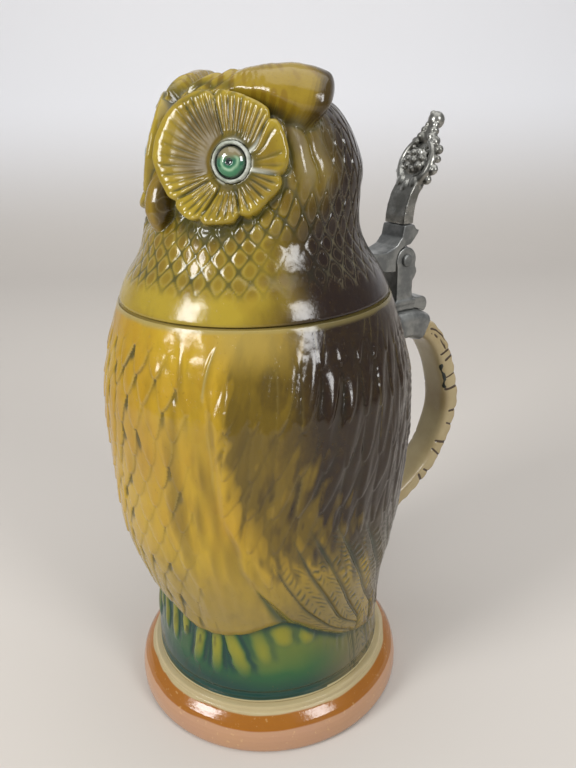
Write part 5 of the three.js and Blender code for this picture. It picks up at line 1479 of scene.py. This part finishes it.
def beadMaterial():
    material, tree = newMaterial("eyeGlass")
    pupil, swirl, lifted, radial = (fieldOf(tree, f) for f in ("pupil", "swirl", "lift", "radial"))
    # painted reflection: the bead's upper part duller and brownish-tan, as the clear glass mirrors the golden
    # head above it
    colour = layered(tree, rgb(16, 110, 66), (stepUp(tree, lifted, -0.7, 0.0), rgb(40, 96, 70)),
                     (stepUp(tree, lifted, 0.05, 0.5), rgb(122, 112, 80)),
                     (times(tree, swirl, 0.8), rgb(150, 186, 150)),
                     (times(tree, stepUp(tree, radial, 0.8, 0.98), 0.85), rgb(24, 34, 28)),
                     (pupil, rgb(14, 18, 22)))
    shaded(tree, BaseColor=colour, Roughness=0.05, IOR=1.55, CoatWeight=1.0, CoatRoughness=0.02)
    return material


def cementMaterial():
    material, tree = newMaterial("eyeCement")
    drift = speckle(tree, objectPlace(tree), 300, 4, 0.65)
    colour = blend(tree, stepUp(tree, drift, 0.35, 0.7), rgb(190, 192, 182), rgb(136, 142, 126))
    shaded(tree, BaseColor=colour, Roughness=0.75, Normal=bumpOf(tree, drift, 0.5, 0.0004))
    return material


def makePewterGroup():
    tree, i, leave = newGroup("worn pewter", [("Vector", ["Place"]), ("Color", ["Clean", "Dull", "Grime"]),
                                              ("Float", ["Hollow", "Rough"])],
                              [("Color", ["Colour"]), ("Float", ["Roughness", "Height"])])
    patch = speckle(tree, i["Place"], 130, 4, 0.6)
    scratch = speckle(tree, i["Place"], 700, 3, 0.6, (1, 0.25, 1))
    colour = layered(tree, i["Clean"], (stepUp(tree, patch, 0.38, 0.64), i["Dull"]),
                     (times(tree, stepUp(tree, i["Hollow"], 0.05, 0.55), 0.85), i["Grime"]))
    rough = swayed(tree, swayed(tree, i["Rough"], patch, 0.35, clamp=False), scratch, 0.2)
    feed(tree, leave, Colour=colour, Roughness=rough, Height=times(tree, scratch, 0.5, patch))
    return tree


def pewterMaterial(name, group, clean, dull, rough, plain=False):
    # a plain piece has no field that marks its hollows
    material, tree = newMaterial(name)
    node = put(tree, "ShaderNodeGroup", node_tree=group)
    feed(tree, node, Place=objectPlace(tree), Clean=clean, Dull=dull, Grime=rgb(52, 50, 46), Rough=rough,
         Hollow=None if plain else fieldOf(tree, "hollow"))
    shaded(tree, BaseColor=node.outputs["Colour"], Roughness=node.outputs["Roughness"], Metallic=0.92,
           Normal=bumpOf(tree, node.outputs["Height"], 0.14, 0.0003))
    return material


glazeGroup = makeGlazeGroup()
pewterGroup = makePewterGroup()
bodyGlaze = glazedMaterial("bodyGlaze", glazeGroup, bodyColours)
headGlaze = glazedMaterial("headGlaze", glazeGroup, headColours, chalky=True)
lustreGlaze = lustreMaterial()
creamGlaze = creamMaterial()
eyeGlass = beadMaterial()
eyeCement = cementMaterial()
pewterSatin = pewterMaterial("pewterSatin", pewterGroup, rgb(150, 151, 148), rgb(118, 120, 119), 0.42)
pewterBright = pewterMaterial("pewterBright", pewterGroup, rgb(164, 163, 157), rgb(126, 125, 119), 0.30)
pewterPlain = pewterMaterial("pewterPlain", pewterGroup, rgb(138, 139, 136), rgb(108, 110, 109), 0.45,
                             plain=True)
print("materials ready")


def coat(piece, material):
    piece.data.materials.clear()
    piece.data.materials.append(material)


def place(piece, body, nodes, slotName, material):
    coat(piece, material)
    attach(piece, body)
    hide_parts(*nodes)


place(makeVessel(), "stein", ["body_vessel"], "body_glaze", bodyGlaze)
print("vessel glazed")
place(makeRing(), "stein", ["foot_ring"], "lustre_glaze", lustreGlaze)
place(makeHandle(), "stein", ["handle"], "cream_glaze", creamGlaze)
place(makeHead(), "lid", ["head_lid"], "head_glaze", headGlaze)
print("head glazed")
for side, word in ((1, "left"), (-1, "right")):
    place(makeBead(side), "lid", ["eye_" + word], "eye_glass", eyeGlass)
    place(makeCement(side), "lid", ["eye_setting_" + word], "eye_cement", eyeCement)
place(makeCuff(), "stein", ["handle_cuff"], "pewter", pewterSatin)
place(makePost(), "stein", ["hinge_post"], "pewter", pewterSatin)
place(makePin(), "stein", ["hinge_pin"], "pewter", pewterPlain)
place(makeStrap(), "lid", ["lid_strap"], "pewter", pewterSatin)
place(makeLift(), "lid", ["thumblift"], "pewter_bright", pewterBright)
coat(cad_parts["strap_anchor"], pewterPlain)
print("pewter cast")


# Floor and backdrop in one sweep, soft lamps, and the camera at the photograph's angle.
studio = {
    "floor": rgb(203, 197, 190),
    "wall": rgb(244, 244, 247),
    "front": -2.6,
    "behind": 0.75,
    "bend": 0.45,
    "halfWide": 6.0,
    "tall": 3.2,
    "world": 0.33,
    "worldColour": (0.96, 0.98, 1.0, 1.0),
}
lamps = [
    # name, place, aim, width, height, watts
    ("window left", (0.02, -1.1, 0.66), (0, 0, 0.15), 0.38, 0.55, 10.5),
    ("window right", (1.25, 0.18, 0.78), (0, 0, 0.15), 0.38, 0.6, 8.5),
    ("ceiling", (0.1, 0.1, 1.25), (0, 0, 0.1), 1.3, 1.3, 7.0),
]
viewFrom = {
    "place": (0.2221, -0.1357, 0.2423),
    "ahead": (-0.7668, 0.5172, -0.3802),
    "roll": -0.0245,
    "focal": 700.0,
    "frameHeight": 768.0,
    "sensor": 36.0,
}


def makeSweep():
    # floor that bends up into a wall behind the stein, seen from the camera
    ahead = Vector((viewFrom["ahead"][0], viewFrom["ahead"][1], 0)).normalized()
    aside = Vector((-ahead.y, ahead.x, 0))
    behind, bend, wide = studio["behind"], studio["bend"], studio["halfWide"]
    profile = [(studio["front"], 0.0), (0.0, 0.0), (behind, 0.0)]
    for a in np.arange(1, 25) / 24 * math.pi / 2:
        profile.append((behind + bend * math.sin(a), bend * (1 - math.cos(a))))
    profile.append((behind + bend, studio["tall"]))
    places = [(ahead * along + aside * s, height) for along, height in profile for s in (-wide, wide)]
    faces = [(2 * k, 2 * k + 1, 2 * k + 3, 2 * k + 2) for k in range(len(profile) - 1)]
    made = facetObject("sweep", [(p.x, p.y, height) for p, height in places], faces)
    made.data.polygons.foreach_set("use_smooth", [True] * len(faces))
    material, tree = newMaterial("paper")
    height = feed(tree, put(tree, "ShaderNodeSeparateXYZ"), Vector=objectPlace(tree)).outputs["Z"]
    colour = blend(tree, stepUp(tree, height, 0.0, 0.25), studio["floor"], studio["wall"])
    shaded(tree, BaseColor=colour, Roughness=0.9, SpecularIORLevel=0.1)
    coat(made, material)


def makeLamps():
    for name, at, aim, wide, tall, watts in lamps:
        light = bpy.data.lights.new(name, "AREA")
        light.shape = "RECTANGLE"
        light.size, light.size_y, light.energy = wide, tall, watts
        lamp = newObject(name, light)
        lamp.location = at
        lamp.rotation_euler = (Vector(aim) - Vector(at)).to_track_quat("-Z", "Y").to_euler()
    world = bpy.data.worlds.new("room")
    bpy.context.scene.world = world
    world.use_nodes = True
    background = next(n for n in world.node_tree.nodes if n.type == "BACKGROUND")
    feed(world.node_tree, background, Color=studio["worldColour"], Strength=studio["world"])


def makeCamera():
    data = bpy.data.cameras.new("camera")
    data.sensor_fit = "VERTICAL"
    data.sensor_height = viewFrom["sensor"]
    data.lens = viewFrom["sensor"] * viewFrom["focal"] / viewFrom["frameHeight"]
    data.clip_start, data.clip_end = 0.01, 20
    ahead = Vector(viewFrom["ahead"]).normalized()
    right = ahead.cross(Vector((0, 0, 1))).normalized()
    up = right.cross(ahead)
    c, s = math.cos(viewFrom["roll"]), math.sin(viewFrom["roll"])
    basis = Matrix((right * c + up * s, up * c - right * s, -ahead)).transposed().to_4x4()
    basis.translation = Vector(viewFrom["place"])
    camera = newObject("camera", data)
    camera.matrix_world = basis
    bpy.context.scene.camera = camera


makeSweep()
makeLamps()
makeCamera()
bpy.context.scene.view_settings.view_transform = "Standard"
print("studio ready")
